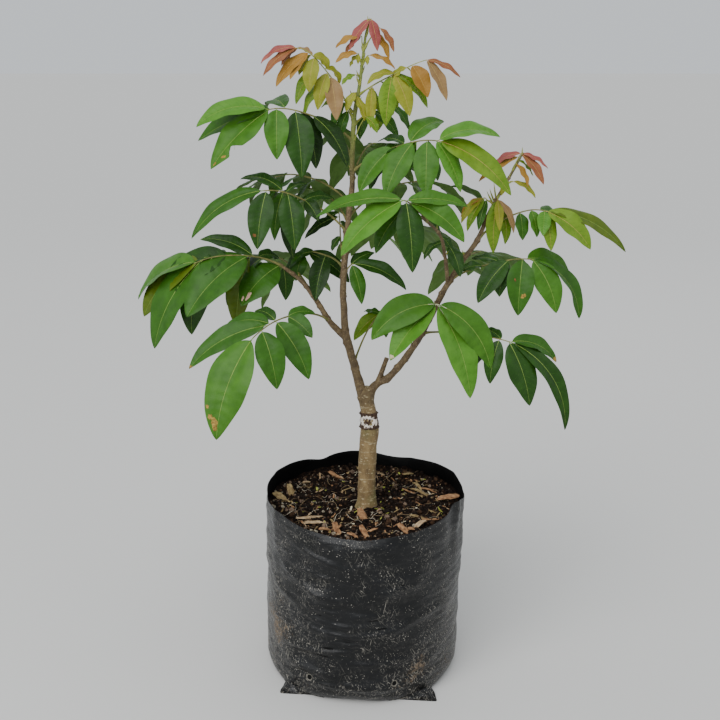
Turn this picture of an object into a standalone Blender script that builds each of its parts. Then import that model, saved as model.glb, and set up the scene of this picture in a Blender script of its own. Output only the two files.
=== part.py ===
"""Grafted longan sapling growing in a black film nursery bag.

Metres, +Z up. The origin is the centre of the bag's flat underside, and -Y is the front.
The plant stands on the potting mix: a rootstock trunk with its graft union, a whole leader, two main
boughs with a pruned stub and a twig, and masses of foliage that are cut back from wood and each other.
"""

import math

import bmesh
import bpy
import numpy as np
from mathutils import Vector

MM = 0.001
GAP = 0.0003  # clearance between touching pieces
CUT_BACK = 0.0008  # how far foliage is trimmed back from wood and from other foliage

# Nursery bag: a round film bag, standing on its folded bottom
BAG_RADIUS = 0.1257
BAG_BASE_RADIUS = 0.113
BAG_CORNER_HEIGHT = 0.014
BAG_WALL = 0.002
BAG_BASE_SHIFT = -0.004  # the filled base sits this far left of the rim's centre
BAG_SIDES = 40
RIM_HEIGHT = 0.2375
RIM_SAG = 0.0145  # how far the front lip sags
RIM_SAG_ANGLE = math.radians(-95)
RIM_SAG_SPREAD = math.radians(40)

# Folded corners of film that stick out at the foot of the bag: angle, reach, half width
EARS = {"bag_corner_left": (-144, 0.015, 0.009), "bag_corner_right": (-47, 0.010, 0.018)}
EAR_THICKNESS = 0.002
EAR_LIFT = 0.001
EAR_SETBACK = 0.009  # from the flat base to the inner edge of a folded corner

# Potting mix
SOIL_CENTRE_HEIGHT = 0.2130
SOIL_EDGE_RISE = 0.0065
SOIL_SIDES = 30

# Wood: routes are (x, y, z) in millimetres along the middle of each limb, radii in millimetres
TRUNK_ROUTE = [(2.0, 0, 213.4), (2.4, 0, 245), (3.4, 0, 288), (5.6, 0, 316), (4.6, 0, 339), (2.0, 0, 352),
               (1.6, 0, 367)]
TRUNK_RADII = [11.6, 11.0, 11.2, 11.2, 9.6, 9.2, 10.2]
COLLAR_BOTTOM = 0.3135
COLLAR_TOP = 0.3405
COLLAR_RADIUS = 0.0132
COLLAR_BORE = 0.0118
COLLAR_MIDDLE_X = 0.0051
COLLAR_SIDES = 16
LEADER_ROUTE = [(-4.6, 0, 367.6), (-13.8, 0, 403), (-23.6, -1, 440), (-25.9, -1, 473), (-26.8, 0, 503),
                (-22.5, 0, 560), (-19.4, 1, 591), (-15.8, 1, 621), (-15.4, 0, 655), (-13.2, 0, 697),
                (-6.6, 0, 738), (-0.7, 0, 785), (4.0, 0, 807)]
LEADER_RADII = [5.3, 5.0, 4.7, 4.2, 4.0, 3.6, 3.4, 3.2, 3.0, 2.6, 2.0, 1.5, 0.9]
LEFT_BOUGH_ROUTE = [(-24.0, -1, 437), (-43.5, -4, 458.5), (-61.5, -6, 489), (-77, -7, 509), (-102, -10, 530)]
LEFT_BOUGH_RADII = [3.8, 3.5, 3.2, 2.9, 2.4]
RIGHT_BOUGH_ROUTE = [(6.6, 0, 367.6), (16.0, -3, 378), (33.0, -8, 392), (60.5, -15, 432), (76.0, -18, 462),
                     (92.5, -20, 498), (112, -18, 531), (132, -15, 560), (146, -10, 592), (162, -5, 621),
                     (184, 0, 661)]
RIGHT_BOUGH_RADII = [4.6, 4.4, 4.3, 4.0, 3.8, 3.6, 3.3, 3.0, 2.6, 2.2, 1.4]
STUB_ROUTE = [(16.5, -3, 381), (21.5, -2, 396), (27.0, -1, 411)]
STUB_RADII = [3.4, 3.1, 3.0]
TWIG_ROUTE = [(97, -20, 508), (92, -38, 546), (82, -62, 576), (52, -88, 604)]
TWIG_RADII = [2.4, 2.1, 1.8, 1.3]
LIMB_SIDES = 8
STEPS_PER_SPAN = 2

# Foliage masses: centre of the crest (mm), heading of the leaf stalk (degrees from +X, anticlockwise),
# half length and half width (mm), how far the outer tip and the sides hang (mm), rise of the stalk
# (degrees), and how many lobes its outline has
MASSES = {
    "foliage_top_flush": ((0, 0, 799), 0, (36, 32), (46, 44), 0, 6),
    "foliage_young_left": ((-70, -10, 766), 180, (56, 44), (34, 50), 8, 7),
    "foliage_young_right": ((59, -10, 754), 0, (52, 44), (36, 52), 4, 7),
    "foliage_upper_shoot": ((22, 32, 700), 30, (40, 36), (30, 30), 0, 5),
    "foliage_left_high": ((-106, -20, 711), 180, (92, 66), (34, 64), 2, 7),
    "foliage_right_high": ((90, -20, 689), 0, (76, 64), (50, 66), 4, 7),
    "foliage_left_middle": ((-116, -32, 620), 180, (82, 62), (50, 72), 4, 7),
    "foliage_centre_front": ((31, -102, 616), 200, (92, 58), (48, 66), -4, 7),
    "foliage_centre": ((-16, 44, 520), 20, (72, 48), (36, 48), 0, 6),
    "foliage_left_far": ((-186, -22, 535), 180, (102, 60), (62, 76), -6, 8),
    "foliage_left_low": ((-120, -118, 492), 200, (76, 62), (100, 116), -6, 6),
    "foliage_bough_front": ((78, -84, 503), 190, (72, 54), (70, 98), 0, 5),
    "foliage_right_low": ((182, -62, 456), -10, (60, 52), (84, 84), -6, 6),
    "foliage_right_middle": ((187, -22, 538), -4, (74, 56), (58, 58), -2, 7),
    "foliage_right_far": ((226, 0, 590), 8, (80, 48), (46, 40), 2, 7),
    "foliage_right_flush": ((182, 0, 651), 10, (38, 34), (32, 32), 0, 6),
    "foliage_right_shoot": ((142, 4, 600), 60, (28, 28), (28, 30), 0, 5),
    "foliage_back_high": ((14, 112, 640), 70, (72, 64), (50, 50), 4, 7),
    "foliage_back_left": ((-88, 126, 576), 130, (78, 64), (54, 54), 2, 7),
    "foliage_back_right": ((78, 122, 532), 50, (76, 62), (54, 54), 2, 7),
    "foliage_back_low": ((20, 76, 455), 60, (50, 44), (46, 44), 0, 5),
    "foliage_back_left_low": ((-144, 106, 494), 150, (74, 58), (62, 60), -4, 7),
    "foliage_back_right_low": ((172, 112, 500), 35, (70, 56), (60, 60), -4, 6),
}
MASS_CREST = 0.007  # how far the upper side stands above the stalk's line
MASS_FILL = 0.75  # how much of the space under a drooping mass its leaves fill
MASS_SEGMENTS = 20
MASS_RINGS = (0.42, 0.78)
LOBE_DEPTH = 0.13

# Plain finishes: colour, roughness
FINISHES = {
    "bag_film": ((0.020, 0.022, 0.025), 0.35),
    "potting_mix": ((0.030, 0.020, 0.015), 0.95),
    "bark": ((0.250, 0.180, 0.100), 0.80),
    "brown_wood": ((0.140, 0.090, 0.048), 0.70),
    "graft_callus": ((0.080, 0.045, 0.030), 0.85),
    "leaf_mature": ((0.040, 0.130, 0.030), 0.45),
    "leaf_young": ((0.260, 0.160, 0.050), 0.45),
}


def material(slot):
    """The plain finish of one slot, made once."""
    found = bpy.data.materials.get(slot)
    if found:
        return found
    made = bpy.data.materials.new(slot)
    made.use_nodes = True
    colour, roughness = FINISHES[slot]
    shader = made.node_tree.nodes["Principled BSDF"]
    shader.inputs["Base Color"].default_value = (*colour, 1.0)
    shader.inputs["Roughness"].default_value = roughness
    shader.inputs["Metallic"].default_value = 0.0
    return made


def add_object(name, bm, slot, smooth=True):
    """Puts a bmesh into the scene as one named object with its faces turned outwards."""
    bmesh.ops.recalc_face_normals(bm, faces=bm.faces)
    mesh = bpy.data.meshes.new(name)
    bm.to_mesh(mesh)
    bm.free()
    if smooth:
        mesh.shade_smooth()
        mesh.set_sharp_from_angle(angle=math.radians(40))
    mesh.materials.append(material(slot))
    made = bpy.data.objects.new(name, mesh)
    bpy.context.scene.collection.objects.link(made)
    return made


def ring_surface(rings, close_start=True, close_end=True):
    """A skin over a list of equal rings of points; the first and last may be closed with flat caps."""
    bm = bmesh.new()
    loops = [[bm.verts.new(point) for point in ring] for ring in rings]
    count = len(loops[0])
    for low, high in zip(loops, loops[1:]):
        for i in range(count):
            j = (i + 1) % count
            bm.faces.new((low[i], low[j], high[j], high[i]))
    if close_start:
        bm.faces.new(loops[0][::-1])
    if close_end:
        bm.faces.new(loops[-1])
    return bm


def smooth_route(points, radii):
    """Points and radii along a smooth curve through the given ones (Catmull-Rom), in metres."""
    knots = np.column_stack([np.array(points, float), np.array(radii, float)]) * MM
    padded = np.vstack([2 * knots[0] - knots[1], knots, 2 * knots[-1] - knots[-2]])
    rows = []
    for a, b, c, d in zip(padded, padded[1:], padded[2:], padded[3:]):
        for step in range(STEPS_PER_SPAN):
            t = step / STEPS_PER_SPAN
            rows.append(0.5 * (2 * b + (c - a) * t + (2 * a - 5 * b + 4 * c - d) * t**2
                               + (3 * b - a - 3 * c + d) * t**3))
    rows.append(knots[-1])
    rows = np.array(rows)
    return rows[:, :3], rows[:, 3]


def limb_rings(points, radii, level_start):
    """Rings square to a route. A level start keeps the first ring horizontal, as a flat cut."""
    tangents = np.gradient(points, axis=0)
    if level_start:
        tangents[0] = (0, 0, 1)
    rings = []
    across = Vector((0, -1, 0))
    for point, tangent, radius in zip(points, tangents, radii):
        along = Vector(tangent).normalized()
        across = (across - across.dot(along) * along).normalized()
        beside = along.cross(across)
        turns = [2 * math.pi * i / LIMB_SIDES for i in range(LIMB_SIDES)]
        size = float(radius)
        rings.append([Vector(point) + size * (math.cos(a) * across + math.sin(a) * beside) for a in turns])
    return rings


def limb(name, route, radii, slot, level_start=False):
    """One tapering limb, with flat ends."""
    points, sizes = smooth_route(route, radii)
    return add_object(name, ring_surface(limb_rings(points, sizes, level_start)), slot)


def limb_cutter(name, route, radii, level_start=False):
    """A hidden copy of a limb, a little thicker and longer, that trims its neighbours back."""
    points, sizes = smooth_route(route, radii)
    points[-1] += (points[-1] - points[-2]) * CUT_BACK / np.linalg.norm(points[-1] - points[-2])
    made = add_object(name, ring_surface(limb_rings(points, sizes + CUT_BACK, level_start)), "bark")
    made.hide_render = True
    made.display_type = "WIRE"
    return made


def foliage_cutter(source):
    """A hidden copy of a foliage mass, pushed out along its normals."""
    mesh = source.data.copy()
    bm = bmesh.new()
    bm.from_mesh(mesh)
    bm.normal_update()
    for vert in bm.verts:
        vert.co += vert.normal * CUT_BACK
    bm.to_mesh(mesh)
    bm.free()
    made = bpy.data.objects.new("cut_" + source.name, mesh)
    bpy.context.scene.collection.objects.link(made)
    made.hide_render = True
    made.display_type = "WIRE"
    return made


def boxes_meet(a, b):
    """Whether the bounding boxes of two unmoved objects overlap."""
    low_a, high_a = np.min(a.bound_box, axis=0), np.max(a.bound_box, axis=0)
    low_b, high_b = np.min(b.bound_box, axis=0), np.max(b.bound_box, axis=0)
    return bool(np.all(low_a < high_b) and np.all(low_b < high_a))


def keep_largest_body(bm):
    """Deletes the crumbs that a cut leaves, so that one closed body remains."""
    unseen = set(bm.verts)
    bodies = []
    while unseen:
        group, edge_front = set(), [next(iter(unseen))]
        while edge_front:
            vert = edge_front.pop()
            if vert in group:
                continue
            group.add(vert)
            edge_front.extend(edge.other_vert(vert) for edge in vert.link_edges)
        unseen -= group
        bodies.append(group)
    bodies.sort(key=lambda group: (len(group), min(vert.index for vert in group)))
    crumbs = [vert for group in bodies[:-1] for vert in group]
    bmesh.ops.delete(bm, geom=crumbs, context="VERTS")


def trim(piece, cutters):
    """Cuts a piece back from each cutter whose box meets its own, and keeps its main body."""
    for cutter in cutters:
        if not boxes_meet(piece, cutter):
            continue
        cut = piece.modifiers.new("trim", "BOOLEAN")
        cut.operation = "DIFFERENCE"
        cut.solver = "EXACT"
        cut.object = cutter
    if not piece.modifiers:
        return
    shape = bpy.data.meshes.new_from_object(piece.evaluated_get(bpy.context.evaluated_depsgraph_get()))
    piece.modifiers.clear()
    bm = bmesh.new()
    bm.from_mesh(shape)
    bmesh.ops.remove_doubles(bm, verts=bm.verts, dist=0.00002)
    bm.verts.index_update()
    keep_largest_body(bm)
    bm.to_mesh(piece.data)
    bm.free()
    bpy.data.meshes.remove(shape)


def rim_height(angle):
    """Height of the bag's lip: level, with one long sag at the front."""
    away = math.remainder(angle - RIM_SAG_ANGLE, 2 * math.pi) / RIM_SAG_SPREAD
    return RIM_HEIGHT - RIM_SAG * math.exp(-away * away)


def bag_centre(height):
    """How far left the bag's middle is at one height."""
    return BAG_BASE_SHIFT * (1 - min(height / RIM_HEIGHT, 1.0))


def bag_point(angle, radius, height):
    return (bag_centre(height) + radius * math.cos(angle), radius * math.sin(angle), height)


def bag():
    """The film bag as one cup: flat underside, rounded foot, straight wall with a sagging lip, and inside."""
    angles = [2 * math.pi * i / BAG_SIDES for i in range(BAG_SIDES)]
    inner = BAG_RADIUS - BAG_WALL
    inner_base = BAG_BASE_RADIUS - BAG_WALL
    corner = [(BAG_BASE_RADIUS, 0.0)]
    for share in (0.5, 1.0):
        turn = share * math.pi / 2
        corner.append((BAG_BASE_RADIUS + (BAG_RADIUS - BAG_BASE_RADIUS) * math.sin(turn),
                       BAG_CORNER_HEIGHT * (1 - math.cos(turn))))
    rings = [[bag_point(a, r, z) for a in angles] for r, z in corner]

    def wall_ring(radius, share):
        return [bag_point(a, radius, BAG_CORNER_HEIGHT + share * (rim_height(a) - BAG_CORNER_HEIGHT))
                for a in angles]

    rings += [wall_ring(BAG_RADIUS, share) for share in (0.5, 1.0)]
    rings += [wall_ring(inner, share) for share in (1.0, 0.5)]
    rings.append([bag_point(a, inner, BAG_CORNER_HEIGHT + BAG_WALL) for a in angles])
    rings.append([bag_point(a, inner_base, BAG_WALL) for a in angles])
    return add_object("nursery_bag", ring_surface(rings), "bag_film")


def bag_corner(name, degrees, reach, half_width):
    """A flattened, folded corner of film: a thin three-cornered plate beside the bag's foot."""
    start = BAG_BASE_RADIUS + EAR_SETBACK
    middle = math.radians(degrees)
    spread = half_width / start
    outline = [bag_point(middle - spread, start, 0), bag_point(middle, start + reach, 0),
               bag_point(middle + spread, start, 0), bag_point(middle, start, 0)]
    rings = [[(x, y, EAR_LIFT + lift) for x, y, _ in outline] for lift in (0.0, EAR_THICKNESS)]
    return add_object(name, ring_surface(rings), "bag_film", smooth=False)


def soil():
    """The potting mix: fills the bag, dished towards the trunk and a little uneven."""
    angles = [2 * math.pi * i / SOIL_SIDES for i in range(SOIL_SIDES)]
    wall = (BAG_RADIUS - BAG_WALL) * math.cos(math.pi / BAG_SIDES) - 2 * GAP
    base = BAG_BASE_RADIUS - 2 * BAG_WALL - 2 * GAP

    def top(angle, share):
        wave = 0.0012 * math.sin(3 * angle + 0.6) + 0.0010 * math.sin(5 * angle)
        return SOIL_CENTRE_HEIGHT + (SOIL_EDGE_RISE + wave) * max(share - 0.2, 0) / 0.8

    rings = [[bag_point(a, base, BAG_WALL + GAP) for a in angles],
             [bag_point(a, wall, BAG_CORNER_HEIGHT + 2 * BAG_WALL) for a in angles]]
    for share in (1.0, 0.6, 0.2):
        rings.append([bag_point(a, wall * share, top(a, share)) for a in angles])
    return add_object("potting_mix", ring_surface(rings), "potting_mix")


def graft_collar():
    """The swollen ring of callus round the graft union, clear of the trunk inside it."""
    turns = [2 * math.pi * i / COLLAR_SIDES for i in range(COLLAR_SIDES)]
    middle = Vector((COLLAR_MIDDLE_X, 0, 0))
    height = COLLAR_TOP - COLLAR_BOTTOM
    waist = COLLAR_RADIUS - 0.0008
    profile = [(COLLAR_BORE, 0.0), (COLLAR_RADIUS, 0.10), (COLLAR_RADIUS, 0.30), (waist, 0.50),
               (COLLAR_RADIUS, 0.72), (waist, 0.92), (COLLAR_BORE, 1.0)]
    rings = [[middle + Vector((r * math.cos(a), r * math.sin(a), COLLAR_BOTTOM + share * height))
              for a in turns] for r, share in profile]
    bm = ring_surface(rings, close_start=False, close_end=False)
    ends = [edge for edge in bm.edges if edge.is_boundary]
    bmesh.ops.bridge_loops(bm, edges=ends)
    return add_object("graft_collar", bm, "graft_callus")


def foliage(name, centre, heading, half_sizes, hangs, rise, lobes):
    """One drooping, uneven mass of leaves.

    In plan it is an ellipse with leafy lobes. Its crest follows the leaf stalk, its outer tip and its
    sides hang by the square of their distance, and its underside is filled nearly level with its rim.
    """
    half_length, half_width = (size * MM for size in half_sizes)
    hang_end, hang_side = (size * MM for size in hangs)
    turn = math.radians(heading)
    slope = math.tan(math.radians(rise))
    middle = Vector(centre) * MM
    depth = MASS_FILL * 0.5 * (0.7 * hang_end + hang_side)
    seed = sum(ord(letter) for letter in name)
    noise = np.random.default_rng(seed).uniform(-1, 1, (3, MASS_SEGMENTS))

    def place(x, y, z):
        return middle + Vector((x * math.cos(turn) - y * math.sin(turn),
                                x * math.sin(turn) + y * math.cos(turn), z))

    def point(step, share, side):
        angle = 2 * math.pi * step / MASS_SEGMENTS
        reach = 1 + LOBE_DEPTH * math.cos(lobes * angle + seed) + 0.05 * noise[0, step] - LOBE_DEPTH
        x = half_length * share * reach * math.cos(angle)
        y = half_width * share * reach * math.sin(angle)
        z = slope * x - hang_end * (x / half_length) ** 2 * (1.0 if x > 0 else 0.45)
        z -= hang_side * (y / half_width) ** 2
        below = 1 - share * share
        if side > 0:
            z += MASS_CREST * math.sqrt(max(below, 0)) * (1 + 0.35 * noise[1, step] * share)
        else:
            z -= depth * below * (1 + 0.25 * noise[2, step] * share)
        return place(x, y, z)

    bm = bmesh.new()
    steps = range(MASS_SEGMENTS)
    rim = [bm.verts.new(point(i, 1.0, 1)) for i in steps]
    for side, crest_height in ((1, MASS_CREST), (-1, -depth)):
        crest = bm.verts.new(place(0, 0, crest_height))
        loops = [[bm.verts.new(point(i, share, side)) for i in steps] for share in MASS_RINGS] + [rim]
        for i in steps:
            j = (i + 1) % MASS_SEGMENTS
            bm.faces.new((crest, loops[0][i], loops[0][j]))
            for low, high in zip(loops, loops[1:]):
                bm.faces.new((low[i], high[i], high[j], low[j]))
    slot = "leaf_young" if "young" in name or "flush" in name or "shoot" in name else "leaf_mature"
    return add_object(name, bm, slot)


def build():
    for old in list(bpy.data.objects):
        bpy.data.objects.remove(old)
    bag()
    for name, (degrees, reach, half_width) in EARS.items():
        bag_corner(name, degrees, reach, half_width)
    soil()
    limb("trunk", TRUNK_ROUTE, TRUNK_RADII, "bark", level_start=True)
    graft_collar()
    limb("leader", LEADER_ROUTE, LEADER_RADII, "brown_wood", level_start=True)
    left = limb("bough_left", LEFT_BOUGH_ROUTE, LEFT_BOUGH_RADII, "brown_wood")
    limb("bough_right", RIGHT_BOUGH_ROUTE, RIGHT_BOUGH_RADII, "brown_wood", level_start=True)
    stub = limb("pruned_stub", STUB_ROUTE, STUB_RADII, "brown_wood")
    twig = limb("twig_centre", TWIG_ROUTE, TWIG_RADII, "brown_wood")
    leader_cutter = limb_cutter("cut_leader", LEADER_ROUTE, LEADER_RADII, level_start=True)
    right_cutter = limb_cutter("cut_right", RIGHT_BOUGH_ROUTE, RIGHT_BOUGH_RADII, level_start=True)
    trim(left, [leader_cutter])
    trim(stub, [right_cutter])
    trim(twig, [right_cutter])
    cutters = [leader_cutter, right_cutter, limb_cutter("cut_left", LEFT_BOUGH_ROUTE, LEFT_BOUGH_RADII),
               limb_cutter("cut_twig", TWIG_ROUTE, TWIG_RADII)]
    for name, settings in MASSES.items():
        mass = foliage(name, *settings)
        bpy.context.view_layer.update()
        trim(mass, cutters)
        cutters.append(foliage_cutter(mass))
        bpy.context.view_layer.update()


build()
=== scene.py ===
"""Looks of a grafted longan sapling growing in a black film nursery bag.

Metres, +Z up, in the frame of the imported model, with the front towards -Y. The sections follow the plant
as it is put together: the bag, the mix in it, the rootstock, the graft, the wood of the crown, the leaf
stalks, the leaves, the buds, and last the floor, the lights and the camera.
"""

import math

import bpy
import numpy as np
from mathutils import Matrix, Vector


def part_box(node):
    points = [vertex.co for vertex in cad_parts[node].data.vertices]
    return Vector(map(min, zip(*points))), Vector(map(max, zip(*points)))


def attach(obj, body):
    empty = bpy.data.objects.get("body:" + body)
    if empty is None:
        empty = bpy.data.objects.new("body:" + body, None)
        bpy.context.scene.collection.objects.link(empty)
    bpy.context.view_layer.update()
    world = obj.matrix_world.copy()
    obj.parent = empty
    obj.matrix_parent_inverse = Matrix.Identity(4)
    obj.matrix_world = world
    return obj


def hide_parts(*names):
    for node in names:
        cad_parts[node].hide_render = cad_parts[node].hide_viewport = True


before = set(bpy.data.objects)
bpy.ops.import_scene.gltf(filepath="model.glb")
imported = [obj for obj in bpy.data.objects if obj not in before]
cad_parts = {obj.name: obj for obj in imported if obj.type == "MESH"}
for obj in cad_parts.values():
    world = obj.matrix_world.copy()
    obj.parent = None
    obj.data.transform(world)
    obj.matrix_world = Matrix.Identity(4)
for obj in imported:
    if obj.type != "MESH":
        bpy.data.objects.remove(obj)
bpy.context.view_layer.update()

# ---- Nursery bag --------------------------------------------------------------------------------------
# A round bag of black low-density polyethylene film, blown as a tube and heat-sealed at the foot. Filled
# with mix, the thin film clings and creases in long sagging folds, its lip leans out at the front, and
# the punched drain holes near the foot stay open. Handling leaves it scratched, dusty and mud-splashed.

MM = 0.001
bag_low, bag_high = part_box("nursery_bag")
BAG_RADIUS = (bag_high.y - bag_low.y) / 2
BAG_BASE_RADIUS = 0.113
BAG_BASE_SHIFT = -0.004  # the filled base sits this far left of the lip's centre
FOOT_HEIGHT = 0.018
RIM_HEIGHT = 0.2375
FILM = 0.0006  # drawn a little thicker than real film, so that its lip shows
FLOOR_FILM = 0.002  # height of the film's inner face on the floor
BAG_COLUMNS, WALL_ROWS = 320, 190
INSIDE_STEP = 5  # the inside wall keeps every fifth row

# Waves of the lip: angle, height in millimetres, spread in degrees
RIM_WAVES = [(-95, -15.5, 40), (-52, -3, 12), (-27, 7, 7), (1, -6, 10), (24, 2, 16), (69, -5, 13),
             (99, 2, 10), (119, -4.5, 8), (150, 3.5, 18), (-168, -4.5, 9), (-146, 1.5, 8)]
# Long creases: angle, height, half span in degrees, tilt, sag, width and depth in millimetres
FOLDS = [(-116, 195, 17, -10, 0, 4.0, 1.3), (-127, 156, 14, -15, 0, 5.0, 1.5),
         (-117, 173, 18, -6, 2, 4.0, 1.1), (-98, 97, 32, 2, 6, 4.5, 1.7), (-116, 71, 19, 4, 0, 4.0, 1.7),
         (-121, 43, 17, -1, -4, 5.0, 1.7), (-82, 191, 11, 2, 0, 4.0, 1.0), (-72, 169, 14, -1, 1, 4.0, 1.3),
         (-70, 157, 13, 3, 0, 5.0, 1.4), (-95, 26, 48, 0, -1, 6.0, 1.6), (-90, 124, 28, 2, 6, 4.0, 1.0),
         (-100, 110, 25, 0, 5, 3.5, 0.9), (-84, 58, 24, 2, 4, 4.0, 1.1), (-104, 85, 22, 1, 3, 3.5, 1.1),
         (-58, 112, 16, 6, 0, 5.0, 1.1), (-63, 44, 17, 3, 2, 5.0, 1.3), (-141, 132, 13, -9, 0, 5.0, 1.0),
         (-106, 142, 18, -6, 3, 4.5, 0.9)]
FOLD_SPREAD, FOLD_GAIN = 1.15, 1.8  # how much wider and deeper the bells are than a crease's own size
SMALL_FOLDS = 60  # further creases, dealt out all round
# Upright creases: angle, width in degrees, depth in millimetres, from and to height
PLEATS = [(-98, 3.0, -1.6, 0.175, 0.235), (-25, 3.2, 4.2, 0.175, 0.260), (-32, 4.0, -2.2, 0.150, 0.250),
          (-150, 5.0, 1.6, 0.120, 0.245), (-13, 5.0, 1.5, 0.060, 0.220), (62, 4.0, 2.2, 0.150, 0.250),
          (118, 5.0, -2.0, 0.130, 0.250), (158, 4.0, 1.8, 0.090, 0.250), (22, 4.0, 1.6, 0.110, 0.240)]
# Punched drain holes: angle, height and radius in millimetres
DRAIN_HOLES = [(-121, 31.5, 2.9), (-72, 30.5, 2.6), (-58, 37.5, 1.2), (-12, 33, 2.7), (41, 31, 2.8),
               (97, 32, 2.7), (149, 33, 2.8), (-168, 31, 2.7)]
HOLE_DEPTH = 0.0024  # how far the dimple of a hole is pushed in
# The slack front lip leans in by this much, over its last stretch, about one angle and over a spread
LIP_LEAN, LIP_LEAN_HEIGHT, LIP_LEAN_AT, LIP_LEAN_SPREAD = -0.0052, 0.012, -96, 23
# The heat-sealed foot is squarer than the wall: angle, how far the floor outline stands out, and spread
FOOT_CORNERS = [(-137, 3, 14), (-96, -7, 16), (-50.5, 4, 14), (38, 11, 17), (133, 11, 17), (85, -2, 20)]
FOOT_FADE = 0.011  # height over which that squareness dies out
# Dried mud: strength, angle and its spread, height and its spread in millimetres
MUD_PATCHES = [(0.9, -152, 22, 80, 55), (0.9, -57, 9, 48, 24), (0.5, -78, 9, 88, 10), (0.55, -25, 22, 70, 60),
               (0.6, 80, 45, 60, 50)]


def linear(colour):
    """The linear colour of an sRGB hex value, by the sRGB transfer curve."""
    parts = np.array([int(colour[i:i + 2], 16) for i in (1, 3, 5)]) / 255
    return (*np.where(parts <= 0.04045, parts / 12.92, ((parts + 0.055) / 1.055) ** 2.4), 1.0)


def add_node(tree, kind, links=None, stops=None, **settings):
    """One shader node with its settings and ramp stops. links gives each input's value or source socket."""
    made = tree.nodes.new("ShaderNode" + kind)
    for name, value in settings.items():
        setattr(made, name, value)
    if stops:
        ends = made.color_ramp.elements
        ends[0].position, ends[1].position = stops[0][0], stops[-1][0]
        for place, _ in stops[1:-1]:
            ends.new(place)
        for element, (_, shade) in zip(made.color_ramp.elements, stops):
            element.color = linear(shade) if isinstance(shade, str) else (shade, shade, shade, 1.0)
    for name, value in (links or {}).items():
        if isinstance(value, bpy.types.NodeSocket):
            tree.links.new(value, made.inputs[name])
        else:
            made.inputs[name].default_value = value
    return made


def new_material(name, colour, roughness, **sockets):
    """A Principled material with plain values, with its tree and shader for the patterns that follow."""
    made = bpy.data.materials.new(name)
    made.use_nodes = True
    shader = made.node_tree.nodes["Principled BSDF"]
    shader.inputs["Base Color"].default_value = linear(colour)
    shader.inputs["Roughness"].default_value = roughness
    for socket, value in sockets.items():
        shader.inputs[socket.replace("_", " ")].default_value = value
    return made, made.node_tree, shader


def tube_faces(rows, ring, count=1):
    """Faces of closed tubes: quads between each ring and the next, and one flat face at each end."""
    row, column = np.meshgrid(np.arange(rows - 1), np.arange(ring), indexing="ij")
    beside = (column + 1) % ring
    corners = [row * ring + column, row * ring + beside, (row + 1) * ring + beside, (row + 1) * ring + column]
    sides = np.stack(corners, -1).reshape(-1, 4)
    start, end = np.arange(ring)[::-1], np.arange(ring) + (rows - 1) * ring
    faces = []
    for first in range(0, count * rows * ring, rows * ring):
        faces += (sides + first).tolist() + [(start + first).tolist(), (end + first).tolist()]
    return faces


def by_tube(kinds, rows, ring):
    """The kind of each tube's material, once for each of its faces."""
    return np.repeat(kinds, (rows - 1) * ring + 2)


def full_turn(count):
    """Evenly spaced angles of a whole turn, in radians."""
    return np.linspace(0, 2 * math.pi, count, endpoint=False)


def add_piece(name, points, faces, materials, which=None, masks=None, crease=50):
    """A shown piece of the plant. which gives each face's material, and masks store values on its points."""
    mesh = bpy.data.meshes.new(name)
    mesh.from_pydata(np.asarray(points, float).reshape(-1, 3), [], faces)
    for material in materials:
        mesh.materials.append(material)
    if which is not None:
        mesh.polygons.foreach_set("material_index", np.asarray(which, np.int32))
    for mask, values in (masks or {}).items():
        stored = mesh.attributes.new(mask, "FLOAT", "POINT").data
        stored.foreach_set("value", np.ravel(values).astype(np.float32))
    mesh.shade_smooth()
    mesh.set_sharp_from_angle(angle=math.radians(crease))
    made = bpy.data.objects.new(name, mesh)
    bpy.context.scene.collection.objects.link(made)
    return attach(made, "root")


def ripple(points, size, seed, waves=14):
    """Smooth unevenness, mostly within -1 to 1: a sum of plane sine waves of about one length."""
    draw = np.random.default_rng(seed)
    ways = draw.standard_normal((waves, 3))
    ways *= 2 * math.pi / (size * draw.uniform(0.7, 1.5, (waves, 1)) * np.linalg.norm(ways, axis=1)[:, None])
    return np.sin(points @ ways.T + draw.uniform(0, 2 * math.pi, waves)).sum(-1) * 0.85 / math.sqrt(waves)


def turned(angle, middle, circle=360):
    """How far an angle is from a middle one, from minus half to half a circle."""
    return (angle - middle + circle / 2) % circle - circle / 2


def smooth_step(x):
    """0 below 0, 1 above 1, and three squares less two cubes between."""
    x = np.clip(x, 0, 1)
    return x * x * (3 - 2 * x)


def bag_centre(height):
    """How far left of the lip's centre the bag's middle is at one height."""
    return BAG_BASE_SHIFT * (1 - np.clip(height / RIM_HEIGHT, 0, 1))


def lip_height(angle):
    """Height of the lip at an angle in degrees: level, plus one bell-shaped wave for each entry."""
    return RIM_HEIGHT + sum(rise * MM * np.exp(-(turned(angle, at) / spread) ** 2)
                            for at, rise, spread in RIM_WAVES)


def lip_lean(angle, height):
    """How far the slack front of the lip leans: the square of its height share times a blunt bell."""
    upward = np.clip(1 - (lip_height(angle) - height) / LIP_LEAN_HEIGHT, 0, 1)
    return LIP_LEAN * np.exp(-(turned(angle, LIP_LEAN_AT) / LIP_LEAN_SPREAD) ** 4) * upward**2


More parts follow.
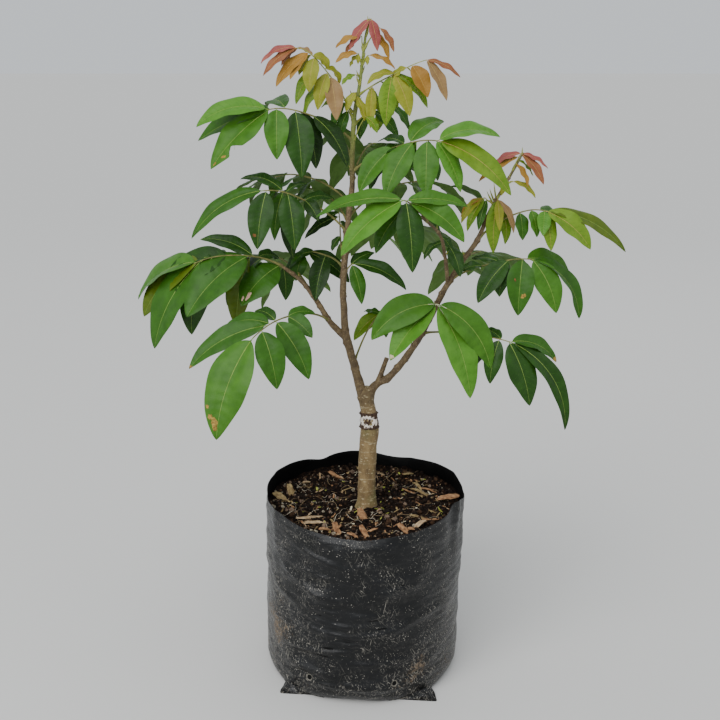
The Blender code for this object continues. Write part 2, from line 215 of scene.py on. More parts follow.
def film_relief(angle, height):
    """How far the film stands out of the round: bells along sagging lines, and upright pleats."""
    x, y = np.cos(np.radians(angle)) * BAG_RADIUS, np.sin(np.radians(angle)) * BAG_RADIUS
    place = np.stack(np.broadcast_arrays(x, y, height), -1)
    relief = 0.0011 * ripple(place * (1, 1, 1.5), 0.055, 3) + 0.00032 * ripple(place * (1, 1, 2.6), 0.022, 4)
    draw = np.random.default_rng(12)
    n = SMALL_FOLDS
    seeded = np.column_stack([draw.uniform(-180, 180, n), draw.uniform(22, 212, n), draw.uniform(7, 16, n),
                              draw.normal(-2, 4.5, n), draw.uniform(-1, 4, n), draw.uniform(2.4, 4.8, n),
                              draw.uniform(0.12, 0.5, n)])
    for at, z, span, tilt, sag, width, depth in [*FOLDS, *seeded]:
        along = turned(angle, at) / span
        across = (height / MM - z - tilt * along - sag * along**2) / (FOLD_SPREAD * width)
        relief += FOLD_GAIN * depth * MM * np.exp(-along**4 - across**2) * (1 + 0.25 * across)
    for at, width, depth, low, high in PLEATS:
        reach = smooth_step((height - low) / (high - low))
        relief += depth * MM * reach * np.exp(-(turned(angle, at) / width) ** 2)
    return relief


def bag_surface(angle, height):
    """Radius of the bag: a quarter ellipse up from the floor outline, then the creased wall."""
    corners = sum(out * MM * np.exp(-(turned(angle, at) / spread) ** 2) for at, out, spread in FOOT_CORNERS)
    rise = np.clip(height / FOOT_HEIGHT, 0, 1)
    round_foot = BAG_BASE_RADIUS + (BAG_RADIUS - BAG_BASE_RADIUS) * np.sqrt(1 - (1 - rise) ** 2)
    fade = np.exp(-(height / FOOT_FADE) ** 2)
    return round_foot + corners * fade + film_relief(angle, height) * smooth_step(height / 0.02)


def hole_edge(angle, height):
    """How far outside the edge of the nearest drain hole a place is, in millimetres."""
    return np.min([np.hypot(np.radians(turned(angle, at)) * BAG_RADIUS / MM, height / MM - z) - radius
                   for at, z, radius in DRAIN_HOLES], axis=0)


def even_by(density, low, high, count):
    """Places from low to high that crowd where a density is high: equal steps of its running sum."""
    fine = np.linspace(low, high, 6000)
    total = np.cumsum(density(fine))
    return np.interp(np.linspace(0, 1, count), (total - total[0]) / (total[-1] - total[0]), fine)


def column_density(angle):
    """Columns crowd round the drain holes: a blunt bell for each."""
    return 1 + sum(3.5 * np.exp(-(turned(angle, at) / 2.2) ** 4) for at, _, _ in DRAIN_HOLES)


def row_density(share):
    """Rows crowd at the height of the drain holes, by a blunt bell."""
    return 1 + 1.6 * np.exp(-((share * (RIM_HEIGHT - FOOT_HEIGHT) + FOOT_HEIGHT - 0.033) / 0.007) ** 4)


angle = even_by(column_density, -180, 180, BAG_COLUMNS + 1)[None, :-1]
lip = lip_height(angle)
wall_share = even_by(row_density, 0, 1, WALL_ROWS)[:, None]
wall_height = FOOT_HEIGHT + wall_share * (lip - FOOT_HEIGHT)
from_hole = hole_edge(angle, wall_height)
holes = smooth_step((0.4 - from_hole) / 0.8)
wall_radius = bag_surface(angle, wall_height) + lip_lean(angle, wall_height) - HOLE_DEPTH * holes
foot_turn = np.linspace(0, math.pi / 2, 14)[:-1, None]
foot_height = FOOT_HEIGHT * (1 - np.cos(foot_turn)) + 0 * angle
foot_radius = bag_surface(angle, foot_height)
lip_turn = np.linspace(0, math.pi, 6)[1:-1, None]
lip_radius = wall_radius[-1:] - FILM * (1 - np.cos(lip_turn)) / 2
lip_rise = lip + FILM * np.sin(lip_turn) / 2
under = np.array([[0.001], [0.04], [0.08]]) + 0 * angle
inside_floor = np.array([[0.105], [0.06], [0.001]]) + 0 * angle
inside_wall = (wall_radius + HOLE_DEPTH * holes - FILM)[::-INSIDE_STEP]
bag_radii = np.vstack([under, foot_radius, wall_radius, lip_radius, inside_wall, inside_floor])
bag_heights = np.vstack([0 * under, foot_height, wall_height, lip_rise, wall_height[::-INSIDE_STEP],
                         FLOOR_FILM + 0 * inside_floor])
bag_turn = np.radians(angle) + 0 * bag_radii
bag_points = np.stack([bag_centre(bag_heights) + bag_radii * np.cos(bag_turn),
                       bag_radii * np.sin(bag_turn), bag_heights], -1)

# Values stored on the film: where a hole is, which gets painted shade for its opening, the ring of dust
# caught along its edge, and the mud, which lies thickest up the left side, low on the right, and in a
# splashed band above the foot
first_wall_row = len(under) + len(foot_turn)
wall_rows = slice(first_wall_row, first_wall_row + WALL_ROWS)
hole_shade_mask, rim_mask = np.zeros(bag_radii.shape), np.zeros(bag_radii.shape)
hole_shade_mask[wall_rows] = holes
rim_mask[wall_rows] = np.exp(-((from_hole - 0.7) / 0.55) ** 2)
mud = 0.35 * np.exp(-((bag_heights - 0.02) / 0.02) ** 2) + 0.22 * ripple(bag_points, 0.035, 8)
for strength, at, spread, z, tall in MUD_PATCHES:
    mud += strength * np.exp(-(turned(angle, at) / spread) ** 2 - ((bag_heights / MM - z) / tall) ** 2)

film, tree, shader = new_material("polyethylene_film", "#0E0F12", 0.30, IOR=1.48, Specular_IOR_Level=0.34)
place = add_node(tree, "TexCoord").outputs["Object"]
# Soot-black film that has bloomed unevenly: cloudy patches about 30 mm across
bloom = add_node(tree, "TexNoise", {"Vector": place, "Scale": 30.0, "Detail": 5.0, "Roughness": 0.65})
black = add_node(tree, "ValToRGB", {"Fac": bloom.outputs["Fac"]},
                 stops=[(0.35, "#050607"), (0.55, "#0A0B0D"), (0.75, "#131518")])
# Hair-fine scratches, drawn a millimetre wide and up to about 20 mm long so that they show. They lie in
# four directions, bent a little by a slow noise, and crowd in worn patches
sway = add_node(tree, "TexNoise", {"Vector": place, "Scale": 45.0, "Detail": 1.0})
bent = add_node(tree, "VectorMath", {0: sway.outputs["Color"], 1: (0.002, 0.002, 0.002), 2: place},
                operation="MULTIPLY_ADD").outputs[0]
scratches = None
for slope, shift, finest in ((0.25, 0.0, 0.675), (-0.5, 0.4, 0.680), (1.25, 0.9, 0.690), (2.3, 1.7, 0.680)):
    slant = add_node(tree, "Mapping",
                     {"Vector": bent, "Location": (shift, 0, shift), "Rotation": (0, slope, 0),
                      "Scale": (0.0008, 0.0018, 0.018)}, vector_type="TEXTURE")
    fine = add_node(tree, "TexNoise", {"Vector": slant.outputs[0], "Scale": 1.0, "Detail": 1.0})
    line = add_node(tree, "MapRange", {"Value": fine.outputs["Fac"], "From Min": finest,
                                       "From Max": finest + 0.05}).outputs[0]
    scratches = line if scratches is None else add_node(tree, "Math", {0: scratches, 1: line},
                                                        operation="MAXIMUM").outputs[0]
patchy = add_node(tree, "TexNoise", {"Vector": place, "Scale": 17.0, "Detail": 3.0})
muddy = add_node(tree, "Attribute", attribute_name="mud").outputs["Fac"]
handled = add_node(tree, "Math", {0: patchy.outputs["Fac"], 1: muddy}, operation="ADD").outputs[0]
worn = add_node(tree, "MapRange", {"Value": handled, "From Min": 0.40, "From Max": 0.9, "To Max": 0.85})
scratches = add_node(tree, "Math", {0: scratches, 1: worn.outputs[0]}, operation="MULTIPLY").outputs[0]
# Grey dust: pinhead specks a few millimetres apart all over, and a thin film in cloudy patches
grain = add_node(tree, "TexVoronoi", {"Vector": place, "Scale": 400.0, "Randomness": 1.0})
speck_size = add_node(tree, "TexNoise", {"Vector": place, "Scale": 150.0, "Detail": 2.0})
speck_limit = add_node(tree, "MapRange", {"Value": speck_size.outputs["Fac"], "From Min": 0.42,
                                          "From Max": 0.68, "To Max": 0.22})
speck = add_node(tree, "Math", {0: grain.outputs["Distance"], 1: speck_limit.outputs[0]},
                 operation="LESS_THAN")
haze = add_node(tree, "TexNoise", {"Vector": place, "Scale": 120.0, "Detail": 8.0, "Roughness": 0.75})
dust = add_node(tree, "MapRange", {"Value": haze.outputs["Fac"], "From Min": 0.54, "From Max": 0.9,
                                   "To Max": 0.4})
# Dried mud, broken up like splashes
crumbly = add_node(tree, "TexNoise", {"Vector": place, "Scale": 230.0, "Detail": 10.0, "Roughness": 0.85})
crumbs_of_mud = add_node(tree, "Math", {0: crumbly.outputs["Fac"], 1: 4.6, 2: -2.3}, operation="MULTIPLY_ADD")
mud_sum = add_node(tree, "Math", {0: muddy, 1: crumbs_of_mud.outputs[0]}, operation="ADD")
mud_cover = add_node(tree, "MapRange", {"Value": mud_sum.outputs[0], "From Min": 0.85, "From Max": 1.2,
                                        "To Max": 0.8})
mud_tone = add_node(tree, "ValToRGB", {"Fac": haze.outputs["Fac"]},
                    stops=[(0.35, "#4A3D30"), (0.65, "#8E7C66")])
# A dusty ring round each drain hole, and painted shade in the hole: the film is only dimpled there, so
# near-black stands in for the shaded opening and the dark mix behind it
rim = add_node(tree, "Attribute", attribute_name="rim").outputs["Fac"]
hole = add_node(tree, "Attribute", attribute_name="hole").outputs["Fac"]
colour = black.outputs[0]
for cover, tone in ((scratches, linear("#A09B90")), (speck.outputs[0], linear("#ADA89E")),
                    (dust.outputs[0], linear("#55524C")), (mud_cover.outputs[0], mud_tone.outputs[0]),
                    (rim, linear("#7C776C")), (hole, linear("#060505"))):
    colour = add_node(tree, "Mix", {0: cover, 6: colour, 7: tone}, data_type="RGBA").outputs[2]
tree.links.new(colour, shader.inputs["Base Color"])
soiling = add_node(tree, "Math", {0: mud_cover.outputs[0], 1: dust.outputs[0]}, operation="ADD")
rough = add_node(tree, "MapRange", {"Value": soiling.outputs[0], "To Min": 0.29, "To Max": 0.9})
tree.links.new(rough.outputs[0], shader.inputs["Roughness"])
# Fine puckers where the film clings, 10 mm apart sideways and 4 mm apart in height
squashed = add_node(tree, "Mapping", {"Vector": place, "Scale": (1, 1, 2.6)})
pucker = add_node(tree, "TexNoise", {"Vector": squashed.outputs[0], "Scale": 95.0, "Detail": 3.0})
pucker_bump = add_node(tree, "Bump", {"Height": pucker.outputs["Fac"], "Distance": 0.0013, "Strength": 0.45})
grit_bump = add_node(tree, "Bump", {"Height": mud_sum.outputs[0], "Distance": 0.0003, "Strength": 0.35,
                                    "Normal": pucker_bump.outputs[0]})
tree.links.new(grit_bump.outputs[0], shader.inputs["Normal"])

# Inside the lip the film is clean and its gloss dull
clean_film, _, _ = new_material("clean_polyethylene_film", "#060606", 0.5, IOR=1.48, Specular_IOR_Level=0.15)
inside = np.repeat(np.arange(len(bag_radii) - 1) >= wall_rows.stop + 2, BAG_COLUMNS)
bag = add_piece("film_bag", bag_points, tube_faces(len(bag_radii), BAG_COLUMNS), [film, clean_film],
                which=np.append(inside, [0, 1]), crease=70,
                masks={"hole": hole_shade_mask, "rim": rim_mask, "mud": mud})
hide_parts("nursery_bag")

# The heat-sealed foot leaves a straight seam, whose two ends are flattened corners of doubled film that
# stick out beside the bag. Each is a flap that slopes from low on the wall to a point on the floor.
CORNER_ROWS, CORNER_COLUMNS = 70, 26
CORNER_TOP = 0.009  # how far up the wall a flap starts
SEAM_FACING, SEAM_DISTANCE = -95, 0.1055  # the way that the straight seam faces, and how far out it lies
SEAM_SPAN, BACK_SPAN = 23, 9  # how far each flap reaches round the bag, along the seam and behind its point


def film_corner(node, point_angle, seam_side, point_radius, seed):
    """A flap on a grid of angle and reach: it leaves the wall and runs out by a power of its reach.

    Its outline on the floor is a triangle: the straight seam (distance over cosine) as far as the point,
    then a line back to the wall. Its puckers are cosine folds that fan out from the top.
    """
    side = np.linspace(-1, 1, CORNER_ROWS)[:, None]
    reach = np.linspace(0, 1, CORNER_COLUMNS)[None, :]
    degrees = point_angle + seam_side * side * np.where(side > 0, SEAM_SPAN, BACK_SPAN)
    top = CORNER_TOP * (1 - 0.55 * side**2)
    height = 0.0010 + top * (1 - reach) ** 1.7
    seam = SEAM_DISTANCE / np.cos(np.radians(degrees - SEAM_FACING))
    back = BAG_BASE_RADIUS + (point_radius - BAG_BASE_RADIUS) * (1 + side)
    edge_radius = np.where(side > 0, np.minimum(seam, point_radius), back)
    out = np.maximum(edge_radius - bag_surface(degrees, 0.001 + 0 * side), 0.0008)
    puckers = 0.0006 * np.cos(11 * side + 4 * reach + seed) + 0.0004 * np.cos(23 * side - 5 * reach)
    fold = 0.0030 * np.exp(-((side - 0.22 + 0.3 * reach) / 0.10) ** 2) * reach
    puckered = (puckers + fold) * np.sin(math.pi * np.clip(reach, 0, 1)) ** 0.5 * (1 - side**4)
    radius = bag_surface(degrees, height) + out * reach**1.5 + puckered - 0.0006 * (1 - reach)
    height = height + 0.0016 * reach**3 * np.cos(5 * side + seed) ** 2 * (1 - side**2)
    inner_height = np.concatenate([0 * top + 0.0002, 0.35 * top, 0.7 * top], axis=1)
    inner = bag_surface(degrees, inner_height) - 0.0020
    edge = radius[:, -1:]
    radii = np.concatenate([radius, edge, inner], axis=1)
    heights = np.concatenate([height, 0 * edge + 0.0002, inner_height], axis=1)
    turn = np.radians(degrees) + 0 * radii
    points = np.stack([bag_centre(heights) + radii * np.cos(turn), radii * np.sin(turn), heights], -1)
    piece = add_piece("film_" + node, points[:, ::-1], tube_faces(CORNER_ROWS, radii.shape[1]), [film],
                      masks={"hole": 0 * radii, "rim": 0 * radii, "mud": 0.45 + 0 * radii}, crease=60)
    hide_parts(node)


film_corner("bag_corner_left", -137, 1, 0.1407, 0.4)
film_corner("bag_corner_right", -50.5, -1, 0.1462, 2.0)

# ---- Potting mix --------------------------------------------------------------------------------------
# A dark mix of peat, composted bark and coir. It fills the bag to a few centimetres below the lip, a
# little dished towards the stem, and is strewn with crumbs, chips of wood, root threads and bits of leaf.

SOIL_HEIGHT, SOIL_EDGE_RISE = 0.2130, 0.0065
SOIL_MEETS_FILM = 0.219
SOIL_ROWS, SOIL_COLUMNS = 84, 230


def soil_height(x, y):
    """Height of the mix: level near the stem, rising evenly to the edge, with lumps of three sizes."""
    share = np.hypot(x, y) / BAG_RADIUS
    flat = np.stack(np.broadcast_arrays(x, y, 0.0 * x), -1)
    lumps = 0.0016 * ripple(flat, 0.030, 21) + 0.0011 * ripple(flat, 0.011, 22)
    lumps = lumps + 0.0006 * ripple(flat, 0.005, 23)
    return SOIL_HEIGHT + SOIL_EDGE_RISE * np.clip(share - 0.2, 0, 1) / 0.8 + lumps


soil_turn = full_turn(SOIL_COLUMNS)[None, :]
edge_at = (np.degrees(soil_turn), SOIL_MEETS_FILM + 0 * soil_turn)
soil_edge = BAG_RADIUS + film_relief(*edge_at) - FILM - 0.0004 + lip_lean(*edge_at)
soil_share = np.linspace(0.008, 1, SOIL_ROWS)[::-1, None] ** 0.8
soil_x = soil_share * soil_edge * np.cos(soil_turn)
soil_y = soil_share * soil_edge * np.sin(soil_turn)
soil_top = np.stack([soil_x, soil_y, soil_height(soil_x, soil_y)], -1)
soil_sides = [np.stack([share * soil_edge * np.cos(soil_turn), share * soil_edge * np.sin(soil_turn),
                        level + 0 * soil_turn], -1)
              for share, level in ((0.01, 0.19), (0.93, 0.19), (0.97, 0.205))]
soil_points = np.concatenate([*soil_sides, soil_top])

peat, tree, shader = new_material("peat_and_bark_mix", "#241B15", 0.95, Specular_IOR_Level=0.1)
# Damp peat and bark: near-black and matt, with brown and tan clods about 5 mm across
place = add_node(tree, "TexCoord").outputs["Object"]
clods = add_node(tree, "TexNoise", {"Vector": place, "Scale": 190.0, "Detail": 10.0, "Roughness": 0.8})
tones = add_node(tree, "ValToRGB", {"Fac": clods.outputs["Fac"]},
                 stops=[(0.34, "#080504"), (0.5, "#170F0B"), (0.62, "#2A1C14"), (0.76, "#604A39")])
tree.links.new(tones.outputs[0], shader.inputs["Base Color"])
crumb_bump = add_node(tree, "Bump", {"Height": clods.outputs["Fac"], "Distance": 0.0022, "Strength": 0.9})
tree.links.new(crumb_bump.outputs[0], shader.inputs["Normal"])
soil = add_piece("potting_mix_surface", soil_points, tube_faces(len(soil_points), SOIL_COLUMNS), [peat])
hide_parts("potting_mix")


def random_turns(draw, count):
    """Rotation matrices in even directions: the orthogonal part of random ones, kept right-handed."""
    turns, _ = np.linalg.qr(draw.standard_normal((count, 3, 3)))
    turns[:, :, 0] *= np.linalg.det(turns)[:, None]
    return turns


def speckled(name, low, high, size, roughness=0.9, gloss=0.15):
    """A matt natural material with mottling between two colours, at a scale in millimetres."""
    made, its_tree, its_shader = new_material(name, low, roughness, Specular_IOR_Level=gloss)
    its_place = add_node(its_tree, "TexCoord").outputs["Object"]
    mottle = add_node(its_tree, "TexNoise", {"Vector": its_place, "Scale": 1 / (size * MM), "Detail": 6.0})
    blend = add_node(its_tree, "ValToRGB", {"Fac": mottle.outputs["Fac"]}, stops=[(0.35, low), (0.68, high)])
    its_tree.links.new(blend.outputs[0], its_shader.inputs["Base Color"])
    its_bump = add_node(its_tree, "Bump",
                        {"Height": mottle.outputs["Fac"], "Distance": 0.0004, "Strength": 0.5})
    its_tree.links.new(its_bump.outputs[0], its_shader.inputs["Normal"])
    return made


# Crumbs: lumps of peat and fine bark, each a squat tube of rings swollen in the middle
CRUMBS, CRUMB_ROWS, CRUMB_RING = 4400, 4, 5
CRUMB_GAP = 0.0045  # the middles of crumbs stay this far inside the film
draw = np.random.default_rng(31)
crumb_size = np.clip(draw.lognormal(math.log(1.15), 0.5, CRUMBS), 0.45, 4.2) * MM
crumb_radius = (BAG_RADIUS - CRUMB_GAP) * np.sqrt(draw.uniform(0, 1, CRUMBS))
crumb_turn = draw.uniform(0, 2 * math.pi, CRUMBS)
ring_turn = full_turn(CRUMB_RING)
swell_by_row = np.array([0.45, 1.0, 0.95, 0.4])[None, :, None]
swell = draw.uniform(0.65, 1.2, (CRUMBS, CRUMB_ROWS, CRUMB_RING)) * swell_by_row
crumb_level = np.array([-0.75, -0.3, 0.3, 0.75])[None, :, None] + 0 * swell
crumb = np.stack([swell * np.cos(ring_turn), swell * np.sin(ring_turn), crumb_level], -1)
crumb = crumb * crumb_size[:, None, None, None]
crumb = np.einsum("nij,nrcj->nrci", random_turns(draw, CRUMBS), crumb)
crumb_x, crumb_y = crumb_radius * np.cos(crumb_turn), crumb_radius * np.sin(crumb_turn)
crumb_z = soil_height(crumb_x, crumb_y) + 0.25 * crumb_size
crumb += np.stack([crumb_x, crumb_y, crumb_z], -1)[:, None, None, :]
crumb_kind = draw.choice(4, CRUMBS, p=(0.62, 0.27, 0.08, 0.03))
crumbs = add_piece("mix_crumbs", crumb, tube_faces(CRUMB_ROWS, CRUMB_RING, CRUMBS),
                   [speckled("peat_crumb", "#0C0907", "#251A13", 3),
                    speckled("bark_crumb", "#26190F", "#513B2A", 3),
                    speckled("coir_crumb", "#4E3F36", "#84705E", 3),
                    speckled("grit", "#6A6254", "#A39A86", 2)],
                   which=by_tube(crumb_kind, CRUMB_ROWS, CRUMB_RING), crease=35)

# Chips: splinters and flakes of coarse bark and wood, thin and a little bowed. The large ones lie where
# they were strewn: x, y, heading in degrees, length, width and thickness in millimetres, tilt, colour
CHIPS = [(-69, -50, 21, 34, 6.0, 2.2, 6, 1), (-60, -63, 20, 30, 7.5, 2.4, 10, 1),
         (-3, -40, -68, 26, 10.0, 1.6, 24, 0), (107, 2, -14, 30, 14.0, 2.6, -14, 0),
         (-48, -86, 30, 18, 6.5, 2.0, 20, 0), (-33, -92, -64, 22, 9.0, 1.6, 38, 0),
         (-35, -84, 15, 14, 7.0, 1.6, -30, 0), (-14, -106, -8, 17, 6.0, 1.8, 26, 0),
         (0, -100, -52, 22, 8.0, 1.8, 34, 0), (6, -93, 24, 20, 4.5, 1.5, -20, 0),
         (47, -87, -38, 20, 10.0, 1.8, 30, 0), (58, -84, 14, 14, 7.0, 1.6, 12, 0),
         (67, -76, 28, 18, 8.0, 1.8, -26, 1), (-110, 10, -35, 22, 13.0, 2.2, 20, 2),
         (-98, 24, -70, 18, 9.0, 1.8, 40, 2), (-94, -16, 30, 12, 7.0, 1.6, 30, 2),
         (72, 26, -40, 28, 5.0, 1.8, 8, 2), (64, 34, -12, 30, 4.0, 1.6, 14, 0),
         (80, 22, 20, 24, 4.0, 1.6, 4, 2), (70, 46, -60, 20, 5.0, 1.6, 10, 2),
         (84, 36, -24, 26, 3.5, 1.4, 6, 0), (82, -58, 22, 26, 4.0, 1.6, 8, 0),
         (66, -45, -28, 24, 4.0, 1.4, 4, 2), (88, -30, 8, 16, 5.0, 1.4, 16, 2),
         (-4, -28, 60, 16, 4.0, 1.2, 40, 0), (20, 92, 10, 26, 8.0, 2.0, 10, 1),
         (-40, 84, -30, 22, 7.0, 2.0, 16, 0), (60, 84, 40, 18, 6.0, 1.8, 12, 2),
         (-78, 60, 64, 20, 6.0, 1.8, 18, 1)]
SMALL_CHIPS = 260
CHIP_ROWS, CHIP_RING = 7, 8
draw = np.random.default_rng(37)
n = SMALL_CHIPS
small_radius = 112 * np.sqrt(draw.uniform(0.02, 1, n))
small_turn = draw.uniform(0, 2 * math.pi, n)
small_chips = [small_radius * np.cos(small_turn), small_radius * np.sin(small_turn), draw.uniform(0, 360, n),
               draw.lognormal(math.log(5.5), 0.45, n), draw.uniform(1.0, 3.4, n), draw.uniform(0.4, 1.1, n),
               draw.normal(0, 22, n), draw.choice(5, n, p=(0.3, 0.2, 0.3, 0.14, 0.06))]
all_chips = np.vstack([np.array(CHIPS, float), np.column_stack(small_chips)])
x, y, heading, length, width, thick, tilt, kind = all_chips.T
chip_count = len(x)
along = np.linspace(-0.5, 0.5, CHIP_ROWS)[None, :, None]
ring_turn = full_turn(CHIP_RING)[None, None, :]
ragged = draw.uniform(0.70, 1.15, (chip_count, CHIP_ROWS, CHIP_RING))
taper = np.array([0.62, 0.92, 1.0, 0.96, 1.0, 0.86, 0.45])[None, :, None] * ragged
square = np.abs(np.cos(ring_turn)) ** 0.4 * np.sign(np.cos(ring_turn))
flat = np.abs(np.sin(ring_turn)) ** 0.6 * np.sign(np.sin(ring_turn))
length, width, thick = (value[:, None, None] * MM for value in (length, width, thick))
bow = draw.normal(0, 0.08, (chip_count, 1, 1)) * length * (1 - (2 * along) ** 2)
chip_x = length * along * (1 + 0.06 * np.sin(3 * ring_turn))
chip = np.stack([chip_x + 0 * taper, -width / 2 * square * taper, thick / 2 * flat * taper + bow], -1)
pitch, yaw = np.radians(tilt)[:, None, None], np.radians(heading)[:, None, None]
tipped_x = chip[..., 0] * np.cos(pitch) + chip[..., 2] * np.sin(pitch)
tipped_z = chip[..., 2] * np.cos(pitch) - chip[..., 0] * np.sin(pitch)
chip = np.stack([tipped_x * np.cos(yaw) - chip[..., 1] * np.sin(yaw),
                 tipped_x * np.sin(yaw) + chip[..., 1] * np.cos(yaw), tipped_z], -1)
lifted = 0.5 * thick[:, 0, 0] + 0.3 * np.abs(np.sin(np.radians(tilt))) * length[:, 0, 0]
chip_z = soil_height(x * MM, y * MM) + lifted
chip += np.stack([x * MM, y * MM, chip_z], -1)[:, None, None, :]
chips = add_piece("wood_chips", chip, tube_faces(CHIP_ROWS, CHIP_RING, chip_count),
                  [speckled("bark_chip", "#76533A", "#B58C64", 4),
                   speckled("split_wood", "#94795A", "#C9B08C", 5),
                   speckled("weathered_wood", "#6F5B3E", "#A08C62", 4),
                   speckled("leaf_bit", "#7E8433", "#B3B35A", 3),
                   speckled("pale_root", "#B5A88C", "#D8CDB4", 3)],
                  which=by_tube(kind.astype(int), CHIP_ROWS, CHIP_RING), crease=40)

# Threads: coir fibres and dry feeder roots that lie over the crumbs
THREADS, THREAD_ROWS, THREAD_RING = 150, 12, 5
THREAD_START, THREAD_REACH = 0.104, 0.119  # how far out threads start, and how far out they may run


def tube_rings(path, radius, ring, reference=(0.0, -1.0, 0.0)):
    """Rings round paths: the radius times the turn's cosine and sine along two axes square to the path."""
    tangent = np.gradient(path, axis=-2)
    tangent /= np.linalg.norm(tangent, axis=-1, keepdims=True)
    across = np.broadcast_to(np.asarray(reference, float), path.shape)
    across = across - (across * tangent).sum(-1, keepdims=True) * tangent
    across = across / np.linalg.norm(across, axis=-1, keepdims=True)
    beside = np.cross(tangent, across)
    turn = full_turn(ring)[:, None]
    reach = np.cos(turn) * across[..., None, :] + np.sin(turn) * beside[..., None, :]
    radius = np.asarray(radius, float)
    if radius.ndim < path.ndim:
        radius = radius[..., None]
    return path[..., None, :] + reach * radius[..., None]


draw = np.random.default_rng(41)
thread_t = np.linspace(0, 1, THREAD_ROWS)[None, :]
start_radius = THREAD_START * np.sqrt(draw.uniform(0, 1, (THREADS, 1)))
start_turn = draw.uniform(0, 2 * math.pi, (THREADS, 1))
head = draw.uniform(0, 2 * math.pi, (THREADS, 1)) + draw.normal(0, 1.3, (THREADS, 1)) * thread_t
step = draw.lognormal(math.log(14), 0.5, (THREADS, 1)) * MM / THREAD_ROWS
thread_x = start_radius * np.cos(start_turn) + np.cumsum(np.cos(head) * step, axis=1)
thread_y = start_radius * np.sin(start_turn) + np.cumsum(np.sin(head) * step, axis=1)
pull_in = np.minimum(1, THREAD_REACH / np.hypot(thread_x, thread_y))
thread_x, thread_y = thread_x * pull_in, thread_y * pull_in
hump = draw.uniform(0.2, 2.6, (THREADS, 1)) * MM * np.sin(math.pi * thread_t)
thread_path = np.stack([thread_x, thread_y, soil_height(thread_x, thread_y) + 0.0012 + hump], -1)
thread_radius = draw.uniform(0.16, 0.42, (THREADS, 1)) * MM * (1 - 0.5 * thread_t)
threads = add_piece("root_threads", tube_rings(thread_path, thread_radius, THREAD_RING, (0.1, 0.2, 1.0)),
                    tube_faces(THREAD_ROWS, THREAD_RING, THREADS),
                    [speckled("coir_fibre", "#6B5640", "#A38E6C", 3),
                     speckled("dry_root", "#8F8470", "#CFC6B2", 3)],
                    which=by_tube(draw.choice(2, THREADS, p=(0.6, 0.4)), THREAD_ROWS, THREAD_RING))

# ---- Rootstock trunk ----------------------------------------------------------------------------------
# The seedling rootstock: a stem of living wood with thin smooth tan bark, as thick as a thumb. The bark
# has faint ring scars where old leaves fell, and many pale corky lenticels that break through it sideways.

TRUNK_ROUTE = [(2.0, 0, 211), (2.4, 0, 245), (3.4, 0, 288), (5.6, 0, 316), (4.6, 0, 339), (2.0, 0, 352),
               (1.6, 0, 363), (1.4, 0, 370), (1.2, 0, 374)]
TRUNK_RADII = [12.0, 11.1, 11.2, 11.2, 9.7, 9.3, 9.9, 8.2, 3.5]
TRUNK_RING, TRUNK_SPACING = 130, 0.0006
ROOT_FLARE, FLARE_HEIGHT = 0.0024, 0.006  # how far the foot spreads, and the height over which it fades
KNOB_RISE, KNOB_HEIGHT, KNOB_TURN = 0.0030, 0.3605, 1.65 * math.pi  # an old bud below the fork
# Ring scars of fallen leaves: height above the trunk's own start, and where their waves begin
RING_SCARS = [(0.0255, 0.0), (0.041, 1.2), (0.0625, 2.1), (0.079, 0.4), (0.0925, 3.0), (0.139, 4.0)]


def smooth_route(route, radii, rows):
    """Points and radii, in metres, on a smooth curve through the given ones (Catmull-Rom)."""
    knots = np.column_stack([np.array(route, float), np.array(radii, float)]) * MM
    padded = np.vstack([2 * knots[0] - knots[1], knots, 2 * knots[-1] - knots[-2]])
    place_on = np.linspace(0, len(knots) - 1, rows)
    span = np.minimum(place_on.astype(int), len(knots) - 2)
    t = (place_on - span)[:, None]
    a, b, c, d = (padded[span + shift] for shift in range(4))
    cubic = 3 * b - a - 3 * c + d
    rows_out = 0.5 * (2 * b + (c - a) * t + (2 * a - 5 * b + 4 * c - d) * t**2 + cubic * t**3)
    return rows_out[:, :3], rows_out[:, 3]


def run_along(path):
    """The distance along a path at each of its points: the running sum of its steps."""
    return np.concatenate([[0], np.cumsum(np.linalg.norm(np.diff(path, axis=0), axis=1))])


def even_route(route, radii, spacing):
    """The smooth route again, with its rows an even distance apart, and each row's distance along it."""
    path, radius = smooth_route(route, radii, 2000)
    run = run_along(path)
    at = np.linspace(0, run[-1], max(int(run[-1] / spacing), 8))
    return np.column_stack([np.interp(at, run, path[:, i]) for i in range(3)]), np.interp(at, run, radius), at


def bark_marks(run, radius, ring, draw, count, size):
    """Lenticels: bell-shaped dashes, wider round the stem than along it, 0 to 1 on the grid of a limb."""
    turn = full_turn(ring)
    marks = np.zeros((len(run), ring))
    places, middles = draw.uniform(0, run[-1], count), draw.uniform(0, 2 * math.pi, count)
    widths, heights = size * draw.uniform(0.6, 1.5, count), size * draw.uniform(0.22, 0.42, count)
    for at, middle, wide, tall in zip(places, middles, widths, heights):
        near = np.abs(run - at) < 3 * tall
        around = turned(turn, middle, 2 * math.pi)
        bell = np.exp(-((run[near, None] - at) / tall) ** 2 - (around * radius[near, None] / wide) ** 2)
        marks[near] = np.maximum(marks[near], bell)
    return marks


